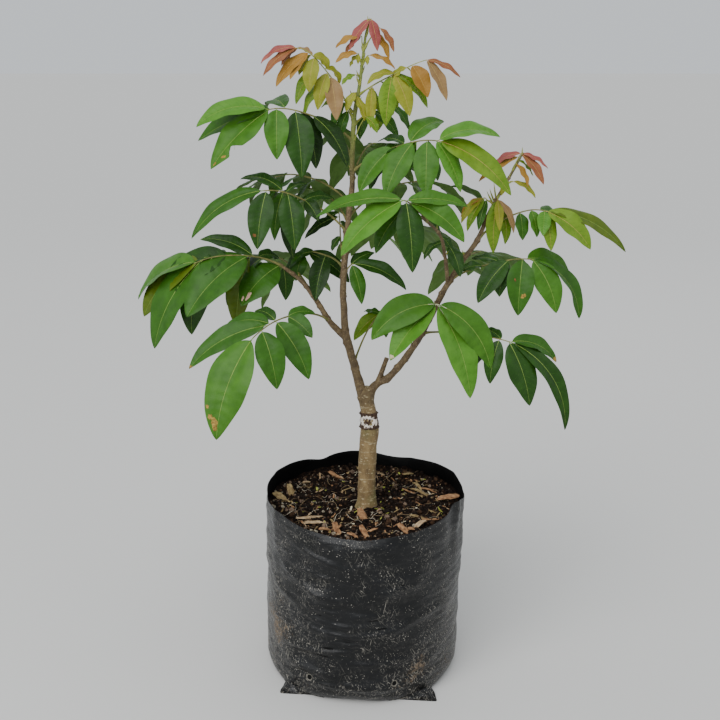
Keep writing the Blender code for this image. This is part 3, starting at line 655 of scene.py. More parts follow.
trunk_path, trunk_radius, trunk_run = even_route(TRUNK_ROUTE, TRUNK_RADII, TRUNK_SPACING)
draw = np.random.default_rng(51)
lenticels = bark_marks(trunk_run, trunk_radius, TRUNK_RING, draw, 150, 0.0013)
turn = full_turn(TRUNK_RING)[None, :]
rings_of_scars = np.zeros(lenticels.shape)
for scar_height, wander in RING_SCARS:
    waver = 0.0009 * np.sin(turn + wander) + 0.0004 * np.sin(3 * turn + wander)
    line = trunk_run[:, None] - scar_height - waver
    dashes = 0.35 + 0.65 * smooth_step(0.5 + 1.6 * np.sin(9 * turn + 5 * np.sin(2 * turn + wander)))
    rings_of_scars = np.maximum(rings_of_scars, np.exp(-(line / 0.00055) ** 2) * dashes)
base_rings = tube_rings(trunk_path, trunk_radius, TRUNK_RING)
relief = 0.00045 * ripple(base_rings * (1, 1, 0.5), 0.016, 52) + 0.00034 * lenticels
relief += 0.00012 * ripple(base_rings * (1, 1, 0.2), 0.0035, 53) + 0.00030 * rings_of_scars
root_flare = ROOT_FLARE * np.exp(-trunk_run[:, None] / FLARE_HEIGHT) * (1 + 0.5 * np.cos(4 * turn))
bud_knob = KNOB_RISE * np.exp(-((trunk_path[:, 2:] - KNOB_HEIGHT) / 0.0042) ** 2
                              - turned(turn, KNOB_TURN, 2 * math.pi) ** 2 / 0.14)
relief += root_flare + bud_knob
trunk_points = tube_rings(trunk_path, trunk_radius[:, None] + relief, TRUNK_RING)

bark, tree, shader = new_material("young_longan_bark", "#8A7A55", 0.78)
# Thin live bark: matt tan, clouded grey-brown at 10 mm, with a faint green film of algae in places
place = add_node(tree, "TexCoord").outputs["Object"]
stretched = add_node(tree, "Mapping", {"Vector": place, "Scale": (1, 1, 0.45)})
cloud = add_node(tree, "TexNoise", {"Vector": stretched.outputs[0], "Scale": 95.0, "Detail": 7.0,
                                    "Roughness": 0.7})
bark_tone = add_node(tree, "ValToRGB", {"Fac": cloud.outputs["Fac"]},
                     stops=[(0.28, "#57452E"), (0.45, "#78623F"), (0.6, "#8F7850"), (0.78, "#A99266")])
algae = add_node(tree, "TexNoise", {"Vector": place, "Scale": 38.0, "Detail": 3.0})
green_film = add_node(tree, "MapRange", {"Value": algae.outputs["Fac"], "From Min": 0.48, "From Max": 0.72,
                                         "To Max": 0.45})
# Above the graft the bark is the scion's, brown like its limbs
scion = add_node(tree, "Attribute", attribute_name="scion").outputs["Fac"]
scion_tone = add_node(tree, "ValToRGB", {"Fac": cloud.outputs["Fac"]},
                      stops=[(0.28, "#3A2D1D"), (0.46, "#58462D"), (0.6, "#6F5D3E"), (0.78, "#8E7A55")])
# Grey-white flecks of lichen and cork, 1 to 2 mm across
fleck = add_node(tree, "TexNoise", {"Vector": place, "Scale": 620.0, "Detail": 3.0})
flecks = add_node(tree, "MapRange", {"Value": fleck.outputs["Fac"], "From Min": 0.62, "From Max": 0.7,
                                     "To Max": 0.55})
cork = add_node(tree, "Attribute", attribute_name="cork").outputs["Fac"]
cork_cover = add_node(tree, "Math", {0: cork, 1: 0.8}, operation="MULTIPLY")
colour = bark_tone.outputs[0]
for cover, tone in ((green_film.outputs[0], linear("#6E7442")), (scion, scion_tone.outputs[0]),
                    (flecks.outputs[0], linear("#C2B592")), (cork_cover.outputs[0], linear("#CFC29C"))):
    colour = add_node(tree, "Mix", {0: cover, 6: colour, 7: tone}, data_type="RGBA").outputs[2]
tree.links.new(colour, shader.inputs["Base Color"])
bark_bump = add_node(tree, "Bump", {"Height": cloud.outputs["Fac"], "Distance": 0.0009, "Strength": 0.6})
fleck_bump = add_node(tree, "Bump", {"Height": fleck.outputs["Fac"], "Distance": 0.0003, "Strength": 0.5,
                                     "Normal": bark_bump.outputs[0]})
tree.links.new(fleck_bump.outputs[0], shader.inputs["Normal"])
trunk = add_piece("rootstock_trunk", trunk_points, tube_faces(len(trunk_run), TRUNK_RING), [bark],
                  masks={"cork": np.maximum(lenticels, 0.45 * rings_of_scars),
                         "scion": smooth_step((trunk_path[:, 2:] - 0.341) / 0.014) + 0 * turn})
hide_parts("trunk")

# ---- Graft union --------------------------------------------------------------------------------------
# The scion was joined to the rootstock here. Both cut edges have healed to dark corky rims, with knobs of
# callus on the right, and a ragged ring of white grafting wax is still stuck to the waist between them.

graft_low, graft_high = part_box("graft_collar")
GRAFT_LEVELS = [0.3135, 0.327, 0.3405]  # heights where the stem's middle line and radius are given
GRAFT_ROWS, GRAFT_RING = 100, 150
# Knobs of callus: rise in metres, place up the union and its spread, turn in radians and its spread
CALLUS_KNOBS = [(0.0016, 0.30, 0.16, 6.05, 0.30), (0.0013, 0.66, 0.12, 5.75, 0.22)]
share = np.linspace(0, 1, GRAFT_ROWS)[:, None]
turn = full_turn(GRAFT_RING)[None, :]
height = graft_low.z + (0.22 + 0.82 * share) * (graft_high.z - graft_low.z)
wavy = share + 0.028 * np.sin(2 * turn + 1) + 0.018 * np.sin(5 * turn)
rims = np.exp(-((wavy - 0.09) / 0.06) ** 2) + 0.95 * np.exp(-((wavy - 0.91) / 0.055) ** 2)
middle_x = np.interp(height, GRAFT_LEVELS, [0.0056, 0.0050, 0.0044])
stem_radius = np.interp(height, GRAFT_LEVELS[::2], [0.0112, 0.0098])
place = np.stack([middle_x + 0.012 * np.cos(turn), 0.012 * np.sin(turn) + 0 * height, height + 0 * turn], -1)
callus = 0.00055 * ripple(place, 0.0042, 61) + 0.00028 * ripple(place, 0.0018, 62)
knobs = sum(rise * np.exp(-((share - at) / tall) ** 2 - ((turn - facing) / wide) ** 2)
            for rise, at, tall, facing, wide in CALLUS_KNOBS)
radius = stem_radius + 0.0004 + 0.0015 * rims + callus + knobs
radius *= 1 - 0.25 * (np.exp(-(share / 0.02) ** 2) + np.exp(-((share - 1) / 0.02) ** 2))
# The wax: a ragged oval ring that faces the front, with a tail smeared to the right
across = turned(turn, math.radians(262), 2 * math.pi)
up = (share - 0.50) / 0.33
ragged = ripple(place, 0.0050, 63) * 0.13 + ripple(place, 0.0021, 64) * 0.09
oval = np.hypot(across, up)
wax_mask = smooth_step((1.08 + ragged - oval) / 0.10) * smooth_step((oval - 0.52 + 1.1 * ragged) / 0.12)
tail = np.exp(-((across - 1.15) / 0.22) ** 2 - ((share - 0.50) / 0.16) ** 2)
tail = tail + 0.9 * np.exp(-((across - 0.95) / 0.16) ** 2 - ((share - 0.3) / 0.10) ** 2)
wax_mask = np.maximum(wax_mask, smooth_step((tail + ragged - 0.5) / 0.2)) * (1 - np.clip(rims, 0, 1))
radius += 0.0004 * wax_mask
graft_points = np.stack([middle_x + radius * np.cos(turn), radius * np.sin(turn), height + 0 * turn], -1)

healed, tree, shader = new_material("callus_and_wax", "#3E2A1E", 0.85)
# Callus is dark, corky and matt, with grains 2 mm across. The wax on it is white and smoother
place = add_node(tree, "TexCoord").outputs["Object"]
knobbly = add_node(tree, "TexNoise", {"Vector": place, "Scale": 420.0, "Detail": 7.0, "Roughness": 0.75})
callus_tone = add_node(tree, "ValToRGB", {"Fac": knobbly.outputs["Fac"]},
                       stops=[(0.3, "#1F130D"), (0.5, "#3E2A1E"), (0.68, "#6B5138"), (0.8, "#8F7A58")])
wax = add_node(tree, "Attribute", attribute_name="wax").outputs["Fac"]
colour = add_node(tree, "Mix", {0: wax, 6: callus_tone.outputs[0], 7: linear("#EADFD3")}, data_type="RGBA")
tree.links.new(colour.outputs[2], shader.inputs["Base Color"])
rough = add_node(tree, "MapRange", {"Value": wax, "To Min": 0.88, "To Max": 0.5})
tree.links.new(rough.outputs[0], shader.inputs["Roughness"])
callus_bump = add_node(tree, "Bump", {"Height": knobbly.outputs["Fac"], "Distance": 0.0007, "Strength": 0.8})
tree.links.new(callus_bump.outputs[0], shader.inputs["Normal"])
graft = add_piece("graft_union", graft_points, tube_faces(GRAFT_ROWS, GRAFT_RING), [healed],
                  masks={"wax": wax_mask}, crease=70)
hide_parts("graft_collar")

# ---- Wood of the crown --------------------------------------------------------------------------------
# The scion's leader and boughs: brown young wood with fine lengthwise wrinkles, small lenticels, and
# raised scars and buds where leaves have fallen. The newest growth at the tips is still green.

# Routes and radii in millimetres; where a limb starts in another, it begins inside it
LIMBS = {
    "leader": ([(0.5, 0, 350), (-1.6, 0, 359), (-5.0, 0, 369), (-13.8, 0, 403), (-23.6, -1, 440),
                (-25.9, -1, 473), (-26.8, 0, 503), (-22.5, 0, 560), (-19.4, 1, 591), (-15.8, 1, 621),
                (-15.4, 0, 655), (-13.2, 0, 697), (-6.6, 0, 738), (-0.7, 0, 785), (4.0, 0, 806)],
               [7.0, 7.6, 6.4, 5.1, 4.7, 4.2, 4.0, 3.6, 3.4, 3.2, 3.0, 2.6, 2.0, 1.4, 0.8]),
    "bough_left": ([(-20, -1, 431), (-25, -1.5, 438), (-43.5, -4, 458.5), (-61.5, -6, 489), (-77, -7, 509),
                    (-102, -10, 530)], [3.2, 4.0, 3.5, 3.1, 2.6, 1.8]),
    "bough_right": ([(3.2, 0, 352), (5.0, 0, 361), (9.0, -1, 371), (16, -3, 379), (33, -8, 392),
                     (60.5, -15, 432), (76, -18, 462), (92.5, -20, 498), (112, -18, 531), (132, -15, 560),
                     (146, -10, 592), (162, -5, 621), (176, -1, 645), (184, 0, 660)],
                    [6.4, 6.9, 5.9, 4.9, 4.3, 4.0, 3.8, 3.6, 3.2, 2.8, 2.3, 1.8, 1.4, 0.9]),
    "pruned_stub": ([(14, -3, 377), (18, -2.4, 386), (21.8, -1.8, 397), (27.0, -1, 411)],
                    [3.6, 3.5, 3.1, 3.0]),
    "twig_centre": ([(94, -20, 500), (97, -22, 510), (92, -38, 546), (82, -62, 576), (52, -88, 604)],
                    [2.2, 2.4, 2.0, 1.7, 1.1]),
}
# Raised scars and buds: height along the limb in millimetres, turn in degrees, height and size
KNOTS = {
    "leader": [(372, 60, 0.7, 2.6), (398, -70, 0.6, 2.2), (431, -95, 0.9, 3.4), (447, 80, 0.6, 2.2),
               (489, 70, 0.8, 2.4), (513, -80, 0.9, 2.6), (520, 75, 1.0, 2.6), (541, 80, 0.7, 2.0),
               (567, -85, 1.1, 2.4), (579, 60, 0.8, 2.2), (600, -70, 0.7, 1.8), (631, 90, 1.0, 2.2),
               (640, -60, 0.8, 2.0), (673, -80, 1.0, 2.2), (693, 85, 1.2, 2.2), (697, -85, 1.1, 2.2),
               (724, 80, 0.9, 1.8), (757, -60, 0.8, 1.4), (768, 70, 0.8, 1.4), (783, 0, 0.7, 1.2)],
    "bough_left": [(462, 90, 0.8, 2.2), (478, -80, 0.7, 2.0), (492, 95, 1.0, 2.4), (503, -90, 0.7, 2.0),
                   (518, 90, 0.8, 2.0)],
    "bough_right": [(386, 80, 0.8, 2.6), (401, -90, 0.9, 2.6), (413, 85, 0.7, 2.4), (431, -60, 1.0, 2.8),
                    (447, 70, 1.1, 2.6), (464, -20, 1.2, 3.0), (481, 95, 0.8, 2.4), (496, -90, 1.0, 2.4),
                    (513, 70, 1.0, 2.4), (536, -90, 0.9, 2.2), (560, 70, 1.0, 2.4), (579, -85, 0.9, 2.0),
                    (596, 60, 0.9, 1.8), (607, -60, 1.0, 1.8), (631, 40, 0.8, 1.4)],
    "pruned_stub": [(389, 90, 0.6, 2.0)],
    "twig_centre": [(522, 90, 0.6, 1.6), (546, -80, 0.8, 1.8), (576, 70, 0.9, 1.8)],
}
LIMB_RING, LIMB_SPACING = 38, 0.0008
GREEN_FROM, GREEN_TO = 0.610, 0.700  # heights between which the wood passes from brown to green

wood, tree, shader = new_material("young_brown_wood", "#6E5238", 0.72)
# Young wood under thin bark: matt brown, clouded at 6 mm, that turns green towards the tips
place = add_node(tree, "TexCoord").outputs["Object"]
cloud = add_node(tree, "TexNoise", {"Vector": place, "Scale": 160.0, "Detail": 7.0, "Roughness": 0.7})
wood_tone = add_node(tree, "ValToRGB", {"Fac": cloud.outputs["Fac"]},
                     stops=[(0.28, "#3A2D1D"), (0.46, "#58462D"), (0.6, "#6F5D3E"), (0.78, "#8E7A55")])
green_tone = add_node(tree, "ValToRGB", {"Fac": cloud.outputs["Fac"]},
                      stops=[(0.3, "#5A6B2A"), (0.7, "#87913F")])
youth = add_node(tree, "Attribute", attribute_name="youth").outputs["Fac"]
fleck = add_node(tree, "TexNoise", {"Vector": place, "Scale": 700.0, "Detail": 2.0})
flecks = add_node(tree, "MapRange", {"Value": fleck.outputs["Fac"], "From Min": 0.6, "From Max": 0.7,
                                     "To Max": 0.45})
cork = add_node(tree, "Attribute", attribute_name="cork").outputs["Fac"]
cork_cover = add_node(tree, "Math", {0: cork, 1: 0.6}, operation="MULTIPLY")
colour = wood_tone.outputs[0]
for cover, tone in ((youth, green_tone.outputs[0]), (flecks.outputs[0], linear("#B19C78")),
                    (cork_cover.outputs[0], linear("#A8946C"))):
    colour = add_node(tree, "Mix", {0: cover, 6: colour, 7: tone}, data_type="RGBA").outputs[2]
tree.links.new(colour, shader.inputs["Base Color"])
wood_bump = add_node(tree, "Bump", {"Height": cloud.outputs["Fac"], "Distance": 0.0006, "Strength": 0.6})
tree.links.new(wood_bump.outputs[0], shader.inputs["Normal"])

limb_paths = {}
for seed, (name, (route, radii)) in enumerate(LIMBS.items(), start=70):
    path, radius, run = even_route(route, radii, LIMB_SPACING)
    limb_paths[name] = path
    draw = np.random.default_rng(seed)
    marks = bark_marks(run, radius, LIMB_RING, draw, int(run[-1] / 0.0024), 0.0007)
    smooth_rings = tube_rings(path, radius, LIMB_RING)
    relief = 0.075 * radius[:, None] * ripple(smooth_rings * (1, 1, 0.6), 0.012, seed)
    relief += 0.00012 * ripple(smooth_rings * (1, 1, 0.35), 0.0022, seed + 20) + 0.00018 * marks
    turn = np.degrees(full_turn(LIMB_RING))[None, :]
    for knot_height, knot_turn, rise, size in KNOTS[name]:
        around = np.radians(turned(turn, knot_turn)) * radius[:, None]
        upward = path[:, 2:] - knot_height * MM
        relief += rise * MM * np.exp(-(around**2 + (upward * 1.2) ** 2) / (size * MM) ** 2)
        relief += 0.25 * rise * MM * np.exp(-((upward + 0.6 * MM) / (0.5 * size * MM)) ** 2)
    green = smooth_step((path[:, 2:] - GREEN_FROM) / (GREEN_TO - GREEN_FROM)) + 0 * turn
    points = tube_rings(path, radius[:, None] + relief, LIMB_RING)
    limb = add_piece("wood_" + name, points, tube_faces(len(run), LIMB_RING), [wood],
                     masks={"youth": green, "cork": marks})
    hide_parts(name)

# ---- Leaf stalks --------------------------------------------------------------------------------------
# Each compound leaf hangs on one stalk that grows from a swollen joint on the wood, arches out under its
# own weight, and carries two to six pairs of leaflets towards its end. Stalks are green, browner when old.

# Each mass of foliage is one or more compound leaves: the limb it grows on and the height there in
# millimetres, the stalk's end and its arch as a share of its length. leaves lists the leaflets: place on
# the stalk, the tip's offset from the base to the right, away and up, the droop from base to tip in
# degrees, width as a share of length, and tint. Those of the far side grow in pairs by habit instead:
# where the first pair sits, a leaflet's length and width share, the tints from first to last, and the
# azimuth their faces turn to.
# The mature greens given to the leaflets, from deep to bright, are partly painted light and shade: lit and
# glossy leaflets got lighter greens, shaded ones darker, and neighbours got different greens to stand in for
# the shading between them
SPRAYS = {
    "left_high": [dict(limb="leader", at=673, end=(-111, -20, 709), arch=0.12, leaves=[
        (1.00, -81, -5, -19, 62, 0.34, "bright"), (0.97, -67, -22, -65, 26, 0.42, "mid"),
        (0.95, -89, 22, -37, 26, 0.32, "leaf"), (0.90, 1, -24, -55, 36, 0.46, "mid"),
        (0.80, -26, 62, -1, 60, 0.36, "leaf"), (0.68, 8, -26, -74, 34, 0.42, "dark"),
        (0.62, 17, 8, -65, 30, 0.36, "deep"), (0.48, 40, -16, -56, 45, 0.34, "deep")])],
    "left_middle": [dict(limb="leader", at=567, end=(-117, -30, 619), arch=0.12, leaves=[
        (1.00, -84, -8, -54, 55, 0.24, "leaf"), (0.97, -10, -24, -64, 30, 0.42, "dark"),
        (0.72, 9, -26, -62, 34, 0.43, "dark"), (0.77, -52, 24, 12, 66, 0.26, "dark"),
        (0.74, 24, 18, 8, 56, 0.34, "dark"), (0.51, 34, 10, 0, 60, 0.40, "dark"),
        (0.51, 16, -14, -22, 40, 0.55, "deep"), (0.59, -7, 2, -73, 40, 0.32, "deep"),
        (0.77, -13, 16, -59, 36, 0.28, "leaf")])],
    "left_far": [dict(limb="bough_left", at=527, end=(-203, -20, 532), arch=0.12, leaves=[
        (0.38, -70, -40, -65, 40, 0.54, "leaf"), (0.59, -87, 6, -57, 48, 0.44, "dark"),
        (0.97, -81, 42, -54, 52, 0.38, "mid"), (0.92, -79, 34, -76, 50, 0.38, "olive"),
        (0.90, -62, -6, -107, 40, 0.40, "leaf"), (0.79, -30, 6, -96, 40, 0.40, "dark"),
        (0.03, -45, -26, -44, 40, 0.66, "leaf"), (0.23, -49, 34, -65, 40, 0.40, "dark"),
        (0.00, 2, 4, -42, 34, 0.44, "dark"), (0.33, -65, 18, 17, 50, 0.28, "dark"),
        (0.28, 23, 22, -6, 60, 0.49, "dark"), (0.36, -22, 22, -94, 40, 0.32, "olive"),
        (0.62, -50, 44, -30, 50, 0.36, "leaf"), (0.80, -60, 40, -40, 50, 0.34, "dark")])],
    "left_low": [dict(limb="bough_left", at=460, end=(-125, -115, 467), arch=0.12, leaves=[
        (1.00, -43, -18, -114, 34, 0.42, "mid"), (0.90, 18, -26, -61, 34, 0.47, "leaf"),
        (0.72, 38, -20, -63, 34, 0.40, "leaf"), (0.82, -90, -6, -49, 46, 0.27, "leaf"),
        (0.56, 29, -16, -21, 40, 0.52, "leaf"), (0.79, -52, 14, -6, 50, 0.42, "leaf"),
        (0.72, -26, 26, 5, 60, 0.41, "dark"), (0.56, 31, 14, 0, 60, 0.38, "leaf")])],
    "right_high": [dict(limb="leader", at=638, end=(82, -30, 675), arch=0.1, leaves=[
        (1.00, 70, 0, 4, 66, 0.40, "bright"), (1.00, 82, -20, -59, 44, 0.30, "fresh"),
        (0.97, 28, -18, -56, 34, 0.36, "bright"), (0.68, 41, 34, 22, 60, 0.46, "mid"),
        (0.87, -2, -26, -60, 30, 0.44, "mid"), (0.72, -32, -22, -60, 34, 0.42, "mid"),
        (0.50, -40, -8, -50, 38, 0.42, "mid"), (0.62, -30, 24, 1, 60, 0.46, "dark"),
        (0.76, -8, 10, -35, 40, 0.44, "mid"), (0.54, -25, 14, -17, 44, 0.54, "dark"),
        (0.56, -34, 12, -52, 36, 0.42, "dark"), (0.88, 14, 24, -48, 36, 0.40, "leaf")])],
    "centre_front": [dict(limb="twig_centre", at=590, end=(41, -95, 616), arch=0.08, leaves=[
        (1.00, -68, -22, -57, 38, 0.38, "bright"), (1.00, -96, 10, -20, 44, 0.27, "mid"),
        (0.92, 7, -26, -74, 34, 0.38, "dark"), (0.92, 68, 6, -7, 34, 0.30, "mid"),
        (0.80, 60, -16, -41, 50, 0.36, "mid"), (0.70, -38, 6, -55, 38, 0.36, "leaf")])],
    "bough_front": [dict(limb="bough_right", at=465, end=(83, -55, 491), arch=0.1, leaves=[
        (1.00, -76, -10, -40, 64, 0.40, "mid"), (0.93, -54, -22, -62, 30, 0.42, "bright"),
        (1.00, 63, -10, -75, 62, 0.34, "mid"), (0.93, 39, -28, -106, 38, 0.36, "bright")])],
    "right_low": [dict(limb="bough_right", at=447, end=(169, -60, 447), arch=0.04, leaves=[
        (1.00, 68, -8, -106, 70, 0.18, "dark"), (0.98, 24, -24, -71, 32, 0.46, "dark"),
        (0.88, -11, -12, -51, 34, 0.40, "dark"), (1.00, 58, 16, -29, 66, 0.30, "leaf"),
        (0.90, -16, 34, 3, 40, 0.36, "dark"), (0.80, -22, 6, -43, 34, 0.36, "deep")])],
    "right_middle": [dict(limb="bough_right", at=513, end=(195, -30, 539), arch=0.08, leaves=[
        (1.00, 28, -18, -60, 40, 0.44, "mid"), (1.00, 61, 8, -73, 74, 0.26, "leaf"),
        (0.88, -6, -22, -63, 32, 0.47, "leaf"), (0.92, 58, 26, -24, 50, 0.40, "mid"),
        (0.70, -9, -8, -42, 32, 0.42, "dark"), (0.72, -37, -16, -48, 34, 0.42, "dark"),
        (0.60, -30, 22, 0, 40, 0.42, "dark"), (0.40, -28, -6, -6, 40, 0.44, "dark")])],
    "right_far": [dict(limb="bough_right", at=560, end=(210, -20, 594), arch=0.15, leaves=[
        (1.00, 98, 6, -49, 52, 0.19, "olive"), (1.00, 51, -16, -42, 42, 0.42, "fresh"),
        (0.98, 7, -16, -44, 30, 0.40, "fresh"), (0.90, 39, 30, -23, 40, 0.38, "leaf"),
        (0.98, -4, -20, -26, 26, 0.50, "bright"), (0.78, 6, -12, -30, 36, 0.46, "mid"),
        (0.62, 3, -10, -31, 34, 0.50, "leaf"), (0.40, 12, 20, -14, 34, 0.42, "leaf")])],
    "right_flush": [
        dict(limb="bough_right", at=638, end=(182, 0, 659), arch=0.1, young=True, leaves=[
            (0.95, 31, -4, -17, 40, 0.23, "rose"), (0.95, -34, -4, -16, 50, 0.27, "rose"),
            (0.90, 26, -12, -34, 38, 0.29, "russet"), (0.72, -47, -8, -28, 40, 0.23, "amber"),
            (0.35, 14, -10, -26, 44, 0.28, "amber"), (0.56, 20, 6, -19, 40, 0.20, "fresh")]),
        dict(limb="bough_right", at=624, end=(173, -4, 626), arch=0.15, young=True, leaves=[
            (0.92, 27, -2, -19, 66, 0.22, "lime"), (0.13, -7, -9, -14, 30, 0.4, "lime")])],
    "right_shoot": [
        dict(limb="bough_right", at=600, end=(138, -8, 608), arch=0.12, young=True, leaves=[
            (1.00, -26, -4, -22, 60, 0.22, "amber"), (1.00, -26, -10, -28, 50, 0.25, "lime"),
            (0.85, -21, -14, -37, 40, 0.26, "fresh"), (0.64, -10, -14, -34, 30, 0.28, "leaf")]),
        dict(limb="bough_right", at=611, end=(154, -14, 607), arch=0.12, young=True, leaves=[
            (1.00, 19, -8, -38, 52, 0.20, "tan"), (1.00, 2, -12, -35, 30, 0.28, "lime"),
            (1.00, -3, -4, -63, 30, 0.30, "fresh"), (1.00, 11, 2, -53, 44, 0.30, "fresh")]),
        dict(limb="bough_right", at=532, end=(87, -12, 564), arch=0.1, leaves=[
            (0.67, -26, -4, -20, 80, 0.30, "dark"), (0.54, 12, -26, -32, 50, 0.40, "dark"),
            (0.87, -25, 6, 25, 30, 0.30, "dark"), (0.92, 12, -8, -16, 44, 0.50, "dark")])],
    "young_left": [dict(limb="leader", at=696, end=(-78, -10, 776), arch=0.17, young=True, leaves=[
        (1.00, -40, -4, -17, 62, 0.24, "rose"), (1.00, -37, -12, -30, 40, 0.24, "russet"),
        (0.97, -20, 8, -19, 34, 0.34, "russet"), (0.79, -37, -8, -37, 40, 0.30, "amber"),
        (0.79, -21, -10, -29, 34, 0.32, "amber"), (0.74, -15, 6, -22, 34, 0.38, "lime"),
        (0.72, -19, 10, 8, 60, 0.32, "tan"), (0.72, 17, 4, -15, 90, 0.50, "lime"),
        (0.69, -6, -14, -38, 30, 0.45, "lime"), (0.59, -28, 2, -45, 36, 0.29, "fresh"),
        (0.46, -11, -14, -41, 30, 0.38, "lime"), (0.41, -32, 4, -46, 40, 0.31, "fresh"),
        (0.51, 17, 6, -16, 85, 0.48, "lime"), (0.41, 7, -16, -48, 26, 0.40, "tan")])],
    "young_right": [dict(limb="leader", at=724, end=(68, -10, 763), arch=0.04, young=True, leaves=[
        (1.00, 39, 0, -19, 44, 0.22, "russet"), (1.00, 23, -12, -44, 30, 0.31, "tan"),
        (0.79, 18, -12, -35, 26, 0.50, "amber"), (0.72, -16, 2, -13, 60, 0.48, "lime"),
        (0.72, 12, 6, -18, 40, 0.47, "lime"), (0.56, -32, -4, -12, 70, 0.31, "lime"),
        (0.51, -7, -14, -56, 24, 0.38, "fresh"), (0.54, 18, -10, -46, 26, 0.40, "lime"),
        (0.56, 37, 0, -38, 44, 0.26, "fresh"), (0.21, -2, -8, -47, 24, 0.26, "lime"),
        (0.33, 21, 14, -30, 36, 0.36, "fresh"), (0.15, 14, 10, -28, 36, 0.36, "fresh")])],
    "upper_shoot": [
        dict(limb="leader", at=691, end=(31, 30, 712), arch=0.1, young=True, leaves=[
            (1.00, 20, -6, -28, 46, 0.36, "leaf"), (0.49, 30, -6, -31, 50, 0.36, "leaf"),
            (0.85, -9, 4, -29, 34, 0.42, "fresh"), (0.36, -9, 0, -30, 30, 0.38, "leaf"),
            (1.00, -6, 24, -26, 40, 0.40, "fresh")]),
        dict(limb="leader", at=690, end=(-25, 0, 719), arch=0.1, young=True, leaves=[
            (0.95, -27, 6, -8, 50, 0.34, "fresh"), (0.85, -15, -8, -28, 50, 0.36, "leaf"),
            (0.51, -9, -4, -30, 36, 0.38, "leaf"), (0.80, -10, 26, -18, 40, 0.38, "leaf")]),
        dict(limb="leader", at=706, end=(-11, -8, 728), arch=0.1, young=True, leaves=[
            (1.00, -11, -6, -22, 40, 0.42, "lime"), (0.74, 10, -6, -28, 36, 0.34, "lime")]),
        dict(limb="leader", at=735, end=(-11, -6, 747), arch=0.1, young=True, leaves=[
            (1.00, -16, -4, -11, 60, 0.40, "fresh")]),
        dict(limb="leader", at=668, end=(0, -12, 701), arch=0.1, young=True, leaves=[
            (1.00, 13, -6, -18, 50, 0.46, "fresh")])],
    "top_flush": [
        dict(limb="leader", at=789, end=(6, 0, 808), arch=0.0, young=True, leaves=[
            (0.97, -24, -6, -34, 34, 0.29, "rose"), (0.97, 7, -10, -35, 24, 0.34, "rose"),
            (0.97, -12, 14, -18, 34, 0.32, "russet")]),
        dict(limb="leader", at=774, end=(16, -4, 798), arch=0.1, young=True, leaves=[
            (0.97, 16, -4, -26, 40, 0.30, "russet"), (0.69, 16, -2, -29, 36, 0.29, "amber")]),
        dict(limb="leader", at=772, end=(-5, -4, 789), arch=0.1, young=True, leaves=[
            (1.00, -29, 0, -13, 50, 0.34, "amber"), (0.92, -19, 4, -19, 36, 0.28, "russet")]),
        dict(limb="leader", at=757, end=(3, -5, 768), arch=0.15, young=True, leaves=[
            (1.00, 30, -4, -15, 56, 0.28, "amber"), (0.82, 0, -3, -10, 30, 0.5, "lime")]),
        dict(limb="leader", at=757, end=(-9, -5, 770), arch=0.15, young=True, leaves=[
            (1.00, -25, -4, -10, 60, 0.34, "amber"), (0.77, -1, -3, -10, 30, 0.5, "lime"),
            (0.82, -10, 3, -14, 40, 0.36, "lime")])],
    "centre": [
        dict(limb="leader", at=523, end=(-76, 30, 535), arch=0.15, leaves=[
            (0.90, 51, -8, -36, 34, 0.40, "dark"), (1.00, -9, -14, -31, 40, 0.56, "leaf"),
            (0.44, -12, -24, -51, 34, 0.42, "deep"), (0.95, -24, -8, -23, 40, 0.43, "dark"),
            (0.72, -31, 14, -15, 44, 0.42, "dark")]),
        dict(limb="leader", at=515, end=(-15, 0, 528), arch=0.15, leaves=[
            (0.95, 64, -14, -29, 52, 0.30, "dark"), (0.85, 12, -18, -45, 34, 0.36, "leaf"),
            (0.74, 29, 24, 11, 40, 0.40, "dark")]),
        dict(limb="leader", at=512, end=(-32, 14, 589), arch=0.05, leaves=[
            (0.90, -42, 4, -27, 40, 0.28, "deep"), (0.82, 12, 10, -24, 40, 0.46, "dark"),
            (0.59, -10, -6, -17, 40, 0.45, "dark"), (0.97, -21, 12, -16, 50, 0.37, "dark")])],
    "back_low": [dict(limb="leader", at=404, end=(24, 50, 457), arch=0.15, leaves=[
        (1.00, -38, -6, -36, 40, 0.38, "fresh"), (1.00, 20, 10, -12, 50, 0.40, "leaf"),
        (0.85, -20, 14, 0, 50, 0.42, "leaf"), (0.85, 8, -2, -30, 34, 0.42, "leaf")])],
    "back_high": [
        dict(limb="leader", at=631, end=(22, 125, 655), arch=0.15,
             first=0.35, pairs=5, length=80, width=0.36, faces=90, tints="dark leaf mid leaf mid"),
        dict(limb="leader", at=652, end=(-62, 82, 690), arch=0.15,
             first=0.4, pairs=4, length=66, width=0.38, faces=110, tints="leaf mid leaf mid")],
    "back_left": [
        dict(limb="leader", at=579, end=(-95, 135, 592), arch=0.15,
             first=0.35, pairs=5, length=85, width=0.36, faces=110, tints="dark leaf mid leaf mid"),
        dict(limb="leader", at=600, end=(-118, 62, 622), arch=0.15,
             first=0.45, pairs=4, length=72, width=0.36, faces=150, tints="dark leaf leaf dark")],
    "back_right": [
        dict(limb="leader", at=539, end=(75, 135, 545), arch=0.15,
             first=0.35, pairs=5, length=85, width=0.36, faces=70, tints="dark mid leaf leaf mid"),
        dict(limb="leader", at=585, end=(98, 78, 610), arch=0.15,
             first=0.4, pairs=4, length=70, width=0.36, faces=40, tints="leaf dark mid leaf")],
    "back_left_low": [
        dict(limb="bough_left", at=497, end=(-145, 118, 510), arch=0.15,
             first=0.3, pairs=5, length=80, width=0.36, faces=120, tints="dark leaf mid leaf mid")],
    "back_right_low": [
        dict(limb="bough_right", at=503, end=(172, 122, 512), arch=0.15,
             first=0.3, pairs=5, length=80, width=0.36, faces=60, tints="dark leaf mid leaf bright")],
}
STALK_ROWS, STALK_RING = 40, 10


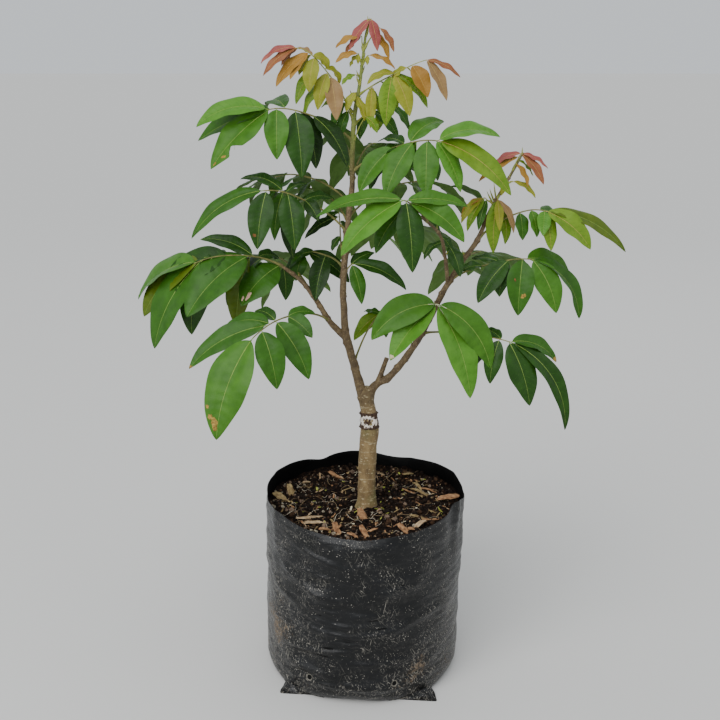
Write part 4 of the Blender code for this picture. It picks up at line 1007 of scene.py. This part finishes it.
def limb_point(name, level):
    """The point on a limb's middle line at one height."""
    line = limb_paths[name]
    return np.array([np.interp(level, line[:, 2], line[:, 0]), np.interp(level, line[:, 2], line[:, 1]),
                     level])


def stalk_path(start, end, arch, rows):
    """A quadratic curve whose middle stands above the straight line by a share of its length."""
    middle = (start + end) / 2 + np.array([0, 0, arch * np.linalg.norm(end - start)])
    control = 2 * middle - (start + end) / 2
    t = np.linspace(0, 1, rows)[:, None]
    return (1 - t) ** 2 * start + 2 * t * (1 - t) * control + t**2 * end


def listed_leaflets(spray):
    """Leaflets placed one by one. A blade is an arc of half angle h, as long as its chord times h / sin h."""
    for place, right, away, up, droop, width, tint in spray["leaves"]:
        chord, half_droop = math.sqrt(right**2 + away**2 + up**2), math.radians(droop) / 2
        slope = math.asin(up / chord)
        yield dict(place=place, azimuth=math.atan2(away, right), width=width, tint=tint,
                   slopes=np.array([slope + half_droop, slope - half_droop]),
                   length=chord * half_droop / math.sin(half_droop) * MM)


def paired_leaflets(spray, path, draw):
    """The branching rule of the far side: pairs at even shares, from 90 to 25 degrees off the stalk."""
    tints = spray["tints"].split()
    for pair in range(spray["pairs"]):
        share = pair / (spray["pairs"] - 1)
        for side in (1, -1):
            chance = draw.standard_normal(5)
            place = spray["first"] + (1 - spray["first"]) * share - (0 if side > 0 else 0.04)
            ahead = path[int(place * (len(path) - 2)) + 1] - path[int(place * (len(path) - 2))]
            azimuth = math.atan2(ahead[1], ahead[0]) - side * math.radians(90 - 65 * share + 6 * chance[0])
            slopes = np.radians([-20 + 14 * share + 6 * chance[2], -62 + 10 * share + 7 * chance[3]])
            tint = tints[int(np.clip(round(share * (len(tints) - 1) + 0.45 * chance[4]), 0, len(tints) - 1))]
            length = spray["length"] * (0.8 + 0.2 * min(2 * share, 1)) * (1 + 0.06 * chance[1]) * MM
            yield dict(place=place, azimuth=azimuth, slopes=slopes, length=length, width=spray["width"],
                       tint=tint)


stalk_rings, stalk_young, leaflets = [], [], {}
on_stalk = np.linspace(0, 1, STALK_ROWS)
for mass, sprays in SPRAYS.items():
    leaflets[mass] = []
    for spray in sprays:
        draw = np.random.default_rng(7 + len(stalk_rings))
        start = limb_point(spray["limb"], spray["at"] * MM)
        path = stalk_path(start, np.array(spray["end"], float) * MM, spray["arch"], STALK_ROWS)
        young = spray.get("young", False)
        joint = 0.9 * MM * np.exp(-((run_along(path) - 0.003) / 0.005) ** 2)
        radius = np.linspace(1.35, 0.62, STALK_ROWS) * MM * (0.7 if young else 1.0) + joint
        path = path + 0.0012 * np.sin(np.linspace(0, 9, STALK_ROWS))[:, None] * np.array([0.3, 0.4, 0.5])
        stalk_rings.append(tube_rings(path, radius, STALK_RING, (0.35, -0.2, 1.0)))
        stalk_young.append(young)
        turned_to = math.radians(spray.get("faces", -90))
        pull = 0.5 if "faces" in spray else 0.75
        for row in (listed_leaflets(spray) if "leaves" in spray else paired_leaflets(spray, path, draw)):
            base = np.array([np.interp(row["place"], on_stalk, path[:, axis]) for axis in range(3)])
            face = np.array([pull * math.cos(turned_to), pull * math.sin(turned_to), 1.0])
            face += np.append(0.15 * draw.standard_normal(2), 0)
            leaflets[mass].append(dict(row, base=base, face=face, random=draw.uniform(-1, 1, 6),
                                       key=len(leaflets[mass]), mass=mass))

# Stalks have a thin waxy skin: a dull gloss, olive brown when old and yellow-green when new
old_stalk = speckled("mature_leaf_stalk", "#5F6134", "#8A8450", 9, roughness=0.55)
new_stalk = speckled("young_leaf_stalk", "#7E8B3C", "#A5A653", 9, roughness=0.5)
stalks = add_piece("leaf_stalks", np.array(stalk_rings), tube_faces(STALK_ROWS, STALK_RING, len(stalk_rings)),
                   [old_stalk, new_stalk],
                   which=by_tube(np.array(stalk_young, int), STALK_ROWS, STALK_RING))

# ---- Leaves -------------------------------------------------------------------------------------------
# Longan leaflets are leathery and lance-shaped with a drawn-out tip: dark glossy green above, paler and
# matt below, a little folded along a raised pale midrib, and quilted between their side veins. The new
# flush is soft, narrow and pink, amber or lime green. Tints are plain colours, one to a leaflet. The
# mature greens from deep to bright are partly each leaflet's own colour and partly painted light and
# shade: leaflets seen lit or in sheen have lighter greens, shaded ones darker.

# Tints of the upper face: base colour, lighter mottle, roughness. From deep to bright, the greens hold
# painted light and shade as well as the leaflets' own colour
TINTS = {
    "deep": ("#142C06", "#1E3C0B", 0.40), "dark": ("#1A3A08", "#274D0F", 0.40),
    "leaf": ("#28500B", "#376616", 0.40), "mid": ("#356212", "#47771F", 0.41),
    "olive": ("#44580A", "#586C14", 0.43), "bright": ("#457A1C", "#5A8D2E", 0.42),
    "fresh": ("#587A14", "#729226", 0.45), "lime": ("#777C1A", "#93962E", 0.46),
    "amber": ("#8E6420", "#A67E36", 0.46), "russet": ("#80482C", "#96603C", 0.46),
    "tan": ("#82643E", "#9A7E54", 0.48), "rose": ("#8C423E", "#A45A52", 0.44),
}
FLUSH_TINTS = ("lime", "amber", "russet", "tan", "rose")  # "fresh" is a young leaf that has turned green
BLADE_ROWS, BLADE_COLUMNS = 56, 7
BLADE_THICKNESS = 0.00042
SIDE_VEINS = 11
VEIN_SLANT = 0.62  # how far a side vein runs on towards the tip, as a share of its reach across
QUILT, QUILT_SHARE = 0.0005, 0.004  # the quilting's height, and at most this share of the blade's length
STALKLET, STALKLET_RADIUS = 0.035, 0.00022  # bare share of a leaflet's length, and its half width
RIB_END = 0.985  # midribs and veins stop this far along the blade
BITE = {("left_high", 1): (0.66, -1, 0.075, 0.62)}  # place along, side, half length and depth of a bite


def columns(rows, key):
    """One value of every leaflet as an array that spreads over two more axes."""
    return np.array([row[key] for row in rows], float).reshape(len(rows), 1, 1)


def half_width(rows, u):
    """Half the blade's width: a power of a sine skewed to the base, after a bare stalklet."""
    blade = np.clip((u - STALKLET) / (1 - STALKLET), 0, 1)
    outline = np.sin(math.pi * blade**0.85) ** 0.75 * (1.12 - 0.25 * blade)
    return np.maximum(columns(rows, "length") * columns(rows, "width") / 2 * outline, STALKLET_RADIUS)


def blade_frame(rows, u):
    """Points on the midribs and their axes. The slope turns evenly from base to tip, so each is an arc."""
    slopes = np.array([row["slopes"] for row in rows])[:, None, :]
    first, change = slopes[..., 0:1], slopes[..., 1:2] - slopes[..., 0:1]
    slope = first + change * u
    length, azimuth = columns(rows, "length"), columns(rows, "azimuth")
    out = length * (np.sin(slope) - np.sin(first)) / change
    rise = length * (np.cos(first) - np.cos(slope)) / change
    heading = np.concatenate([np.cos(azimuth), np.sin(azimuth), 0 * azimuth], -1)[:, None]
    upward = np.array([0.0, 0.0, 1.0])
    bases = np.array([row["base"] for row in rows])[:, None, None, :]
    middle = bases + out[..., None] * heading + rise[..., None] * upward
    ahead = np.cos(slope)[..., None] * heading + np.sin(slope)[..., None] * upward
    face = np.array([row["face"] for row in rows])[:, None, None, :]
    across = np.cross(ahead, face)
    across /= np.linalg.norm(across, axis=-1, keepdims=True)
    twist = (np.array([row["random"][0] for row in rows])[:, None, None] * 0.22 * u**1.5)[..., None]
    normal = np.cross(across, ahead)
    twisted = np.cos(twist) * across + np.sin(twist) * normal
    return middle, twisted, np.cos(twist) * normal - np.sin(twist) * across


def blade_points(rows, u, v, lift=0.0, mass=None, thin=False):
    """Points of the blades at shares u along and v across (-1 to 1).

    The two halves rise from the midrib as a shallow V and curl down at the margin. Cosine quilting swells
    between the side veins, which leave the midrib at about 55 degrees, and the margin has a slow wave.
    """
    random = np.array([row["random"] for row in rows])[:, None, None, :]
    width = half_width(rows, u)
    for (bitten, key), (at, side, reach, depth) in BITE.items():
        if bitten == mass:
            here = np.array([row["key"] == key for row in rows])[:, None, None]
            ragged = depth * np.exp(-((u - at) / reach) ** 4) * (1 + 0.12 * np.sin(70 * u))
            width = width * (1 - here * ragged * (np.sign(v) == side))
    middle, across, normal = blade_frame(rows, u)
    length = columns(rows, "length")
    fold = width * ((0.40 + 0.10 * random[..., 1]) * np.abs(v) - (0.26 + 0.10 * random[..., 2]) * v**2)
    phase = SIDE_VEINS * (u - VEIN_SLANT * np.abs(v) * width / length)
    quilt = np.minimum(QUILT, QUILT_SHARE * length) * (1 - np.cos(2 * math.pi * phase))
    quilt = quilt * np.sin(math.pi * np.clip(np.abs(v), 0, 1)) ** 0.8
    wave = 0.0011 * np.sin(2 * math.pi * (2.4 * u + random[..., 3]) + np.sign(v) * random[..., 4]) * v**2
    height = fold + (0 if thin else quilt) + wave * np.sin(math.pi * u) + lift
    return middle + across * (v * width)[..., None] + normal * height[..., None]


def leaf_material(name, low, high, roughness, gloss):
    """A leaf surface: two close tints mottled at 14 mm, a dull gloss, and a grain of cells 1 mm across."""
    made, its_tree, its_shader = new_material(name, low, roughness, Specular_IOR_Level=gloss)
    its_place = add_node(its_tree, "TexCoord").outputs["Object"]
    mottle = add_node(its_tree, "TexNoise", {"Vector": its_place, "Scale": 70.0, "Detail": 4.0})
    blend = add_node(its_tree, "ValToRGB", {"Fac": mottle.outputs["Fac"]}, stops=[(0.28, low), (0.76, high)])
    its_tree.links.new(blend.outputs[0], its_shader.inputs["Base Color"])
    cells = add_node(its_tree, "TexNoise", {"Vector": its_place, "Scale": 900.0, "Detail": 2.0})
    its_bump = add_node(its_tree, "Bump",
                        {"Height": cells.outputs["Fac"], "Distance": 0.00025, "Strength": 0.3})
    its_tree.links.new(its_bump.outputs[0], its_shader.inputs["Normal"])
    return made


# Above, the skin is waxy and has a dull gloss. Beneath, it is matt and paler
leaf_tops = {name: leaf_material("leaf_" + name, *tint, 0.21) for name, tint in TINTS.items()}
under_mature = leaf_material("leaf_underside", "#4F7030", "#648642", 0.6, 0.15)
under_young = leaf_material("young_leaf_underside", "#858A30", "#A09A48", 0.6, 0.15)

u = np.linspace(0, 1, BLADE_ROWS)[None, :, None]
v = np.linspace(-1, 1, BLADE_COLUMNS)[None, None, :]
blade_ring = 2 * BLADE_COLUMNS - 2
upper = np.append(np.tile(np.arange(blade_ring) < BLADE_COLUMNS - 1, BLADE_ROWS - 1), [True, True])
cushion = -BLADE_THICKNESS * np.sqrt(np.clip(1 - v**2, 0, 1)) + BLADE_THICKNESS / 2
for mass, rows in leaflets.items():
    tops = blade_points(rows, u, v, BLADE_THICKNESS / 2, mass)
    lower = blade_points(rows, u, v, cushion, mass, thin=True)
    rings = np.concatenate([tops, lower[:, :, -2:0:-1]], axis=2)
    tints = sorted({row["tint"] for row in rows})
    young = any(row["tint"] in FLUSH_TINTS for row in rows)
    which = np.concatenate([np.where(upper, tints.index(row["tint"]), len(tints)) for row in rows])
    blades = add_piece("leaves_" + mass, rings, tube_faces(BLADE_ROWS, blade_ring, len(rows)),
                       [leaf_tops[name] for name in tints] + [under_young if young else under_mature],
                       which=which, crease=75)
    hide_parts("foliage_" + mass)

# Midribs: the stalklet and the midrib in one, round, tapering, proud of both faces of the blade
RIB_ROWS, RIB_RING = 18, 6
all_rows = [row for rows in leaflets.values() for row in rows]
rib_young = np.array([row["tint"] in (*FLUSH_TINTS, "fresh") for row in all_rows])
rib_u = np.linspace(0, RIB_END, RIB_ROWS)[None, :, None]
rib_path = blade_points(all_rows, rib_u, 0 * rib_u, 0.0002, thin=True)[:, :, 0]
rib_thickness = (columns(all_rows, "length")[:, :, 0] / 0.09) ** 0.5  # against a leaflet 9 cm long
rib_radius = np.linspace(0.50, 0.12, RIB_ROWS)[None, :] * MM * rib_thickness
rib_material = speckled("leaf_midrib", "#76923F", "#94AC58", 6, roughness=0.5)
young_rib = speckled("young_leaf_midrib", "#A98C4C", "#C2A766", 6, roughness=0.5)
pale_stalklet = speckled("pale_stalklet", "#C3C79C", "#DADCC0", 3, roughness=0.5)
rib_which = by_tube(rib_young.astype(int), RIB_ROWS, RIB_RING).reshape(len(all_rows), -1)
rib_which[[row["mass"] == "bough_front" for row in all_rows], :2 * RIB_RING] = 2
ribs = add_piece("leaf_midribs", tube_rings(rib_path, rib_radius, RIB_RING, (0.35, -0.2, 1.0)),
                 tube_faces(RIB_ROWS, RIB_RING, len(all_rows)), [rib_material, young_rib, pale_stalklet],
                 which=rib_which.ravel())

# Side veins: hair-thin pale lines on the upper face of the mature leaflets, curving towards the tip
mature = [row for row in all_rows if row["tint"] not in FLUSH_TINTS]
vein_at = (np.arange(1, SIDE_VEINS) / SIDE_VEINS)[None, :, None]
# Their points lie on the blade's own columns, so that they rest on its flats
vein_v = np.array([0.03, 1 / 3, 2 / 3, 0.80])[None, None, :]
VEIN_ROWS, VEIN_RING = vein_v.size, 3
vein_lift = BLADE_THICKNESS / 2 + np.array([0.04, 0.06, 0.02, -0.30]) * MM  # the end sinks into the blade
vein_lift = np.tile(vein_lift, SIDE_VEINS - 1)[None, :, None]
vein_rings = []
for side in (-1, 1):
    width_there = half_width(mature, vein_at)
    vein_u = vein_at + VEIN_SLANT * vein_v * width_there / columns(mature, "length") + 0.02 * vein_v**3
    vein_u = np.minimum(vein_u, RIB_END).reshape(len(mature), -1, 1)
    spread_v = np.broadcast_to(side * vein_v, (len(mature), SIDE_VEINS - 1, VEIN_ROWS))
    path = blade_points(mature, vein_u, spread_v.reshape(len(mature), -1, 1), vein_lift)
    path = path.reshape(len(mature) * (SIDE_VEINS - 1), VEIN_ROWS, 3)
    radius = np.linspace(0.15, 0.10, VEIN_ROWS)[None, :] * MM + 0 * path[..., 0]
    vein_rings.append(tube_rings(path, radius, VEIN_RING, (0.35, -0.5, 1.0)))
vein_rings = np.concatenate(vein_rings)
vein_material = speckled("leaf_side_vein", "#35601B", "#4A752B", 6, roughness=0.5)
veins = add_piece("leaf_side_veins", vein_rings, tube_faces(VEIN_ROWS, VEIN_RING, len(vein_rings)),
                  [vein_material])

# Blemishes on the older leaflets: scorched and grazed patches of dead tissue, a little sunken in real
# life, here thin scabs. Mass, leaflet, place along and across, radius in millimetres, and kind: scorched,
# brown, grazed or bleached
BLEMISHES = [("left_low", 0, 0.86, 0.30, 4.2, 0), ("left_low", 0, 0.80, 0.62, 2.4, 0),
             ("left_low", 0, 0.72, 0.80, 1.6, 0), ("left_far", 1, 0.80, -0.3, 2.2, 2),
             ("left_far", 6, 0.80, -0.2, 3.2, 2), ("left_far", 6, 0.88, 0.3, 1.6, 2),
             ("right_middle", 2, 0.66, -0.35, 2.2, 0), ("right_middle", 2, 0.40, 0.4, 1.2, 1),
             ("left_middle", 1, 0.78, 0.45, 1.6, 1), ("left_low", 3, 0.975, 0.0, 1.8, 0),
             ("right_low", 3, 0.955, 0.0, 2.6, 0), ("left_high", 1, 0.80, -0.55, 1.8, 0),
             ("left_high", 1, 0.93, -0.2, 1.6, 0), ("bough_front", 1, 0.95, 0.0, 2.2, 3),
             ("back_left", 4, 0.7, 0.4, 2.4, 0), ("back_right", 3, 0.55, -0.4, 2.0, 1)]
SPOT_RING = 14
SPOT_REACH = np.array([0.04, 0.6, 1.0, 1.02, 0.04])[:, None]  # share of the radius, ring by ring
SPOT_LIFT = np.array([0.22, 0.20, 0.12, -0.10, -0.10])[:, None] * MM
spot_turn = full_turn(SPOT_RING)[None, :]
spot_rings, spot_kind = [], []
draw = np.random.default_rng(91)
for mass, key, at, side_at, size, kind_of_spot in BLEMISHES:
    row = next(row for row in leaflets[mass] if row["key"] == key)
    ragged = 1 + 0.28 * np.sin(2 * spot_turn + draw.uniform(0, 6))
    ragged += 0.16 * np.sin(5 * spot_turn + draw.uniform(0, 6))
    reach = SPOT_REACH * ragged * size * MM
    wide_there = half_width([row], np.full((1, 1, 1), at))[0, 0, 0]
    spot_u = np.clip(at + 1.5 * reach * np.cos(spot_turn) / row["length"], 0.04, 0.992)
    spot_v = np.clip(side_at + reach * np.sin(spot_turn) / wide_there, -0.97, 0.97)
    patch = blade_points([row], spot_u[None], spot_v[None], BLADE_THICKNESS / 2 + SPOT_LIFT, mass)[0]
    spot_rings.append(patch[::-1])
    spot_kind.append(kind_of_spot)
SPOT_ROWS = len(SPOT_REACH)
spots = add_piece("leaf_blemishes", np.array(spot_rings), tube_faces(SPOT_ROWS, SPOT_RING, len(spot_rings)),
                  [speckled("scorched_leaf", "#7A5A2C", "#B59A4E", 2),
                   speckled("brown_leaf_spot", "#5A3A22", "#8A6238", 2),
                   speckled("grazed_leaf", "#B58A7A", "#D0AFA0", 2),
                   speckled("bleached_tip", "#B7AE86", "#CFC8A4", 2)],
                  which=by_tube(spot_kind, SPOT_ROWS, SPOT_RING))

# ---- Buds ---------------------------------------------------------------------------------------------
# Small pointed buds sit in the joints of the stalks, and tight yellow-green shoots are breaking from the
# upper leader and from the tip of the right bough. Each is a spindle of folded scale leaves.

# Limb, height on it in millimetres, azimuth and slope of the bud, length and thickness in millimetres
BUDS = [("leader", 759, 200, 60, 9, 2.2), ("leader", 762, -20, 65, 8, 2.0),
        ("leader", 771, 170, 70, 7, 1.8), ("leader", 746, 30, 60, 10, 2.4),
        ("leader", 742, 190, 62, 9, 2.2), ("leader", 733, -60, 60, 9, 2.2),
        ("leader", 715, 180, 60, 14, 3.0), ("leader", 709, -30, 55, 13, 2.8),
        ("leader", 703, 200, 50, 12, 2.8), ("leader", 800, -20, 75, 7, 1.6),
        ("leader", 803, 190, 80, 6, 1.5), ("leader", 545, 185, 40, 6, 2.0), ("leader", 488, 0, 40, 5, 2.2),
        ("leader", 600, 10, 50, 5, 2.0), ("leader", 640, 170, 45, 5, 2.0),
        ("bough_left", 492, 60, 60, 6, 2.4), ("bough_left", 512, 90, 50, 5, 2.0),
        ("bough_right", 482, 200, 60, 5, 2.2), ("bough_right", 540, 170, 60, 7, 2.2),
        ("bough_right", 585, 160, 60, 9, 2.4), ("bough_right", 603, 150, 62, 14, 2.2),
        ("bough_right", 606, 110, 66, 18, 2.0), ("bough_right", 601, 190, 55, 15, 2.2),
        ("bough_right", 612, 30, 60, 13, 2.4), ("bough_right", 626, 0, 60, 9, 2.0),
        ("bough_right", 657, 60, 80, 7, 1.6), ("twig_centre", 578, 90, 60, 5, 1.8),
        ("twig_centre", 545, 0, 50, 5, 1.8)]
BUD_ROWS, BUD_RING = 12, 9
bud_t = np.linspace(0, 1, BUD_ROWS)
bud_paths, bud_radii = [], []
for limb_name, at, azimuth, slope, length, thick in BUDS:
    a, s = math.radians(azimuth), math.radians(slope)
    way = np.array([math.cos(a) * math.cos(s), math.sin(a) * math.cos(s), math.sin(s)])
    bend = np.array([0, 0, 0.18]) * length * MM * bud_t[:, None] ** 2
    bud_paths.append(limb_point(limb_name, at * MM) + way * (0.0012 + length * MM * bud_t[:, None]) + bend)
    bud_radii.append(thick / 2 * MM * (np.sin(math.pi * bud_t**0.62) ** 0.8 * (1 - 0.25 * bud_t) + 0.06))
ridged = 1 + 0.13 * np.cos(3 * full_turn(BUD_RING))
bud_rings = tube_rings(np.array(bud_paths), np.array(bud_radii)[..., None] * ridged, BUD_RING,
                       (0.6, 0.5, 0.2))
buds = add_piece("axillary_buds", bud_rings, tube_faces(BUD_ROWS, BUD_RING, len(BUDS)),
                 [speckled("bud_scales", "#7F8B38", "#A9A552", 3, roughness=0.5)])

# ---- Floor, light and camera --------------------------------------------------------------------------
# A plain pale floor under soft daylight: an even pale sky, a very broad sun high on the front left, two
# weak panels on the right and behind, and a small low one on the front left, which makes the creased film
# shine. The camera looks slightly down at the plant from the front.

FLOOR_REACH = 200
floor_corners = [(x * FLOOR_REACH, y * FLOOR_REACH, 0) for x, y in ((-1, -1), (1, -1), (1, 1), (-1, 1))]
floor_mesh = bpy.data.meshes.new("studio_floor")
floor_mesh.from_pydata(floor_corners, [], [(0, 1, 2, 3)])
floor = bpy.data.objects.new("studio_floor", floor_mesh)
bpy.context.scene.collection.objects.link(floor)
floor_paint, _, _ = new_material("pale_floor", "#CFCECB", 0.95)
floor_mesh.materials.append(floor_paint)

sky = bpy.data.worlds.new("soft_sky")
sky.use_nodes = True
sky.node_tree.nodes["Background"].inputs["Color"].default_value = linear("#E4E9EE")
sky.node_tree.nodes["Background"].inputs["Strength"].default_value = 0.92
bpy.context.scene.world = sky


def add_panel(name, place, target, size, power):
    """A square soft light that faces a target."""
    lamp = bpy.data.lights.new(name, "AREA")
    lamp.size, lamp.energy = size, power
    made = bpy.data.objects.new(name, lamp)
    bpy.context.scene.collection.objects.link(made)
    away = np.array(target, float) - np.array(place, float)
    made.visible_camera = False
    made.location = place
    made.rotation_euler = (math.atan2(math.hypot(away[0], away[1]), -away[2]), 0,
                           math.atan2(away[1], away[0]) - math.pi / 2)


sun_lamp = bpy.data.lights.new("broad_sun", "SUN")
sun_lamp.energy, sun_lamp.angle = 1.65, math.radians(48)
sun = bpy.data.objects.new("broad_sun", sun_lamp)
bpy.context.scene.collection.objects.link(sun)
sun.rotation_euler = (math.radians(38), 0, math.radians(-24))
add_panel("right_panel", (1.9, -0.7, 1.7), (0, 0, 0.45), 1.6, 5)
add_panel("back_panel", (0.4, 2.0, 2.2), (0, 0, 0.5), 1.8, 6)
add_panel("front_panel", (-1.05, -1.15, 0.85), (0, 0, 0.15), 0.7, 8)

CAMERA_PLACE, CAMERA_DOWN = (-0.0064, -1.187, 0.753), 16.2  # metres, and degrees below level
camera_data = bpy.data.cameras.new("camera")
camera_data.lens, camera_data.sensor_width = 50, 36
camera = bpy.data.objects.new("camera", camera_data)
bpy.context.scene.collection.objects.link(camera)
camera.location = CAMERA_PLACE
camera.rotation_euler = (math.radians(90 - CAMERA_DOWN), 0, 0)
bpy.context.scene.camera = camera
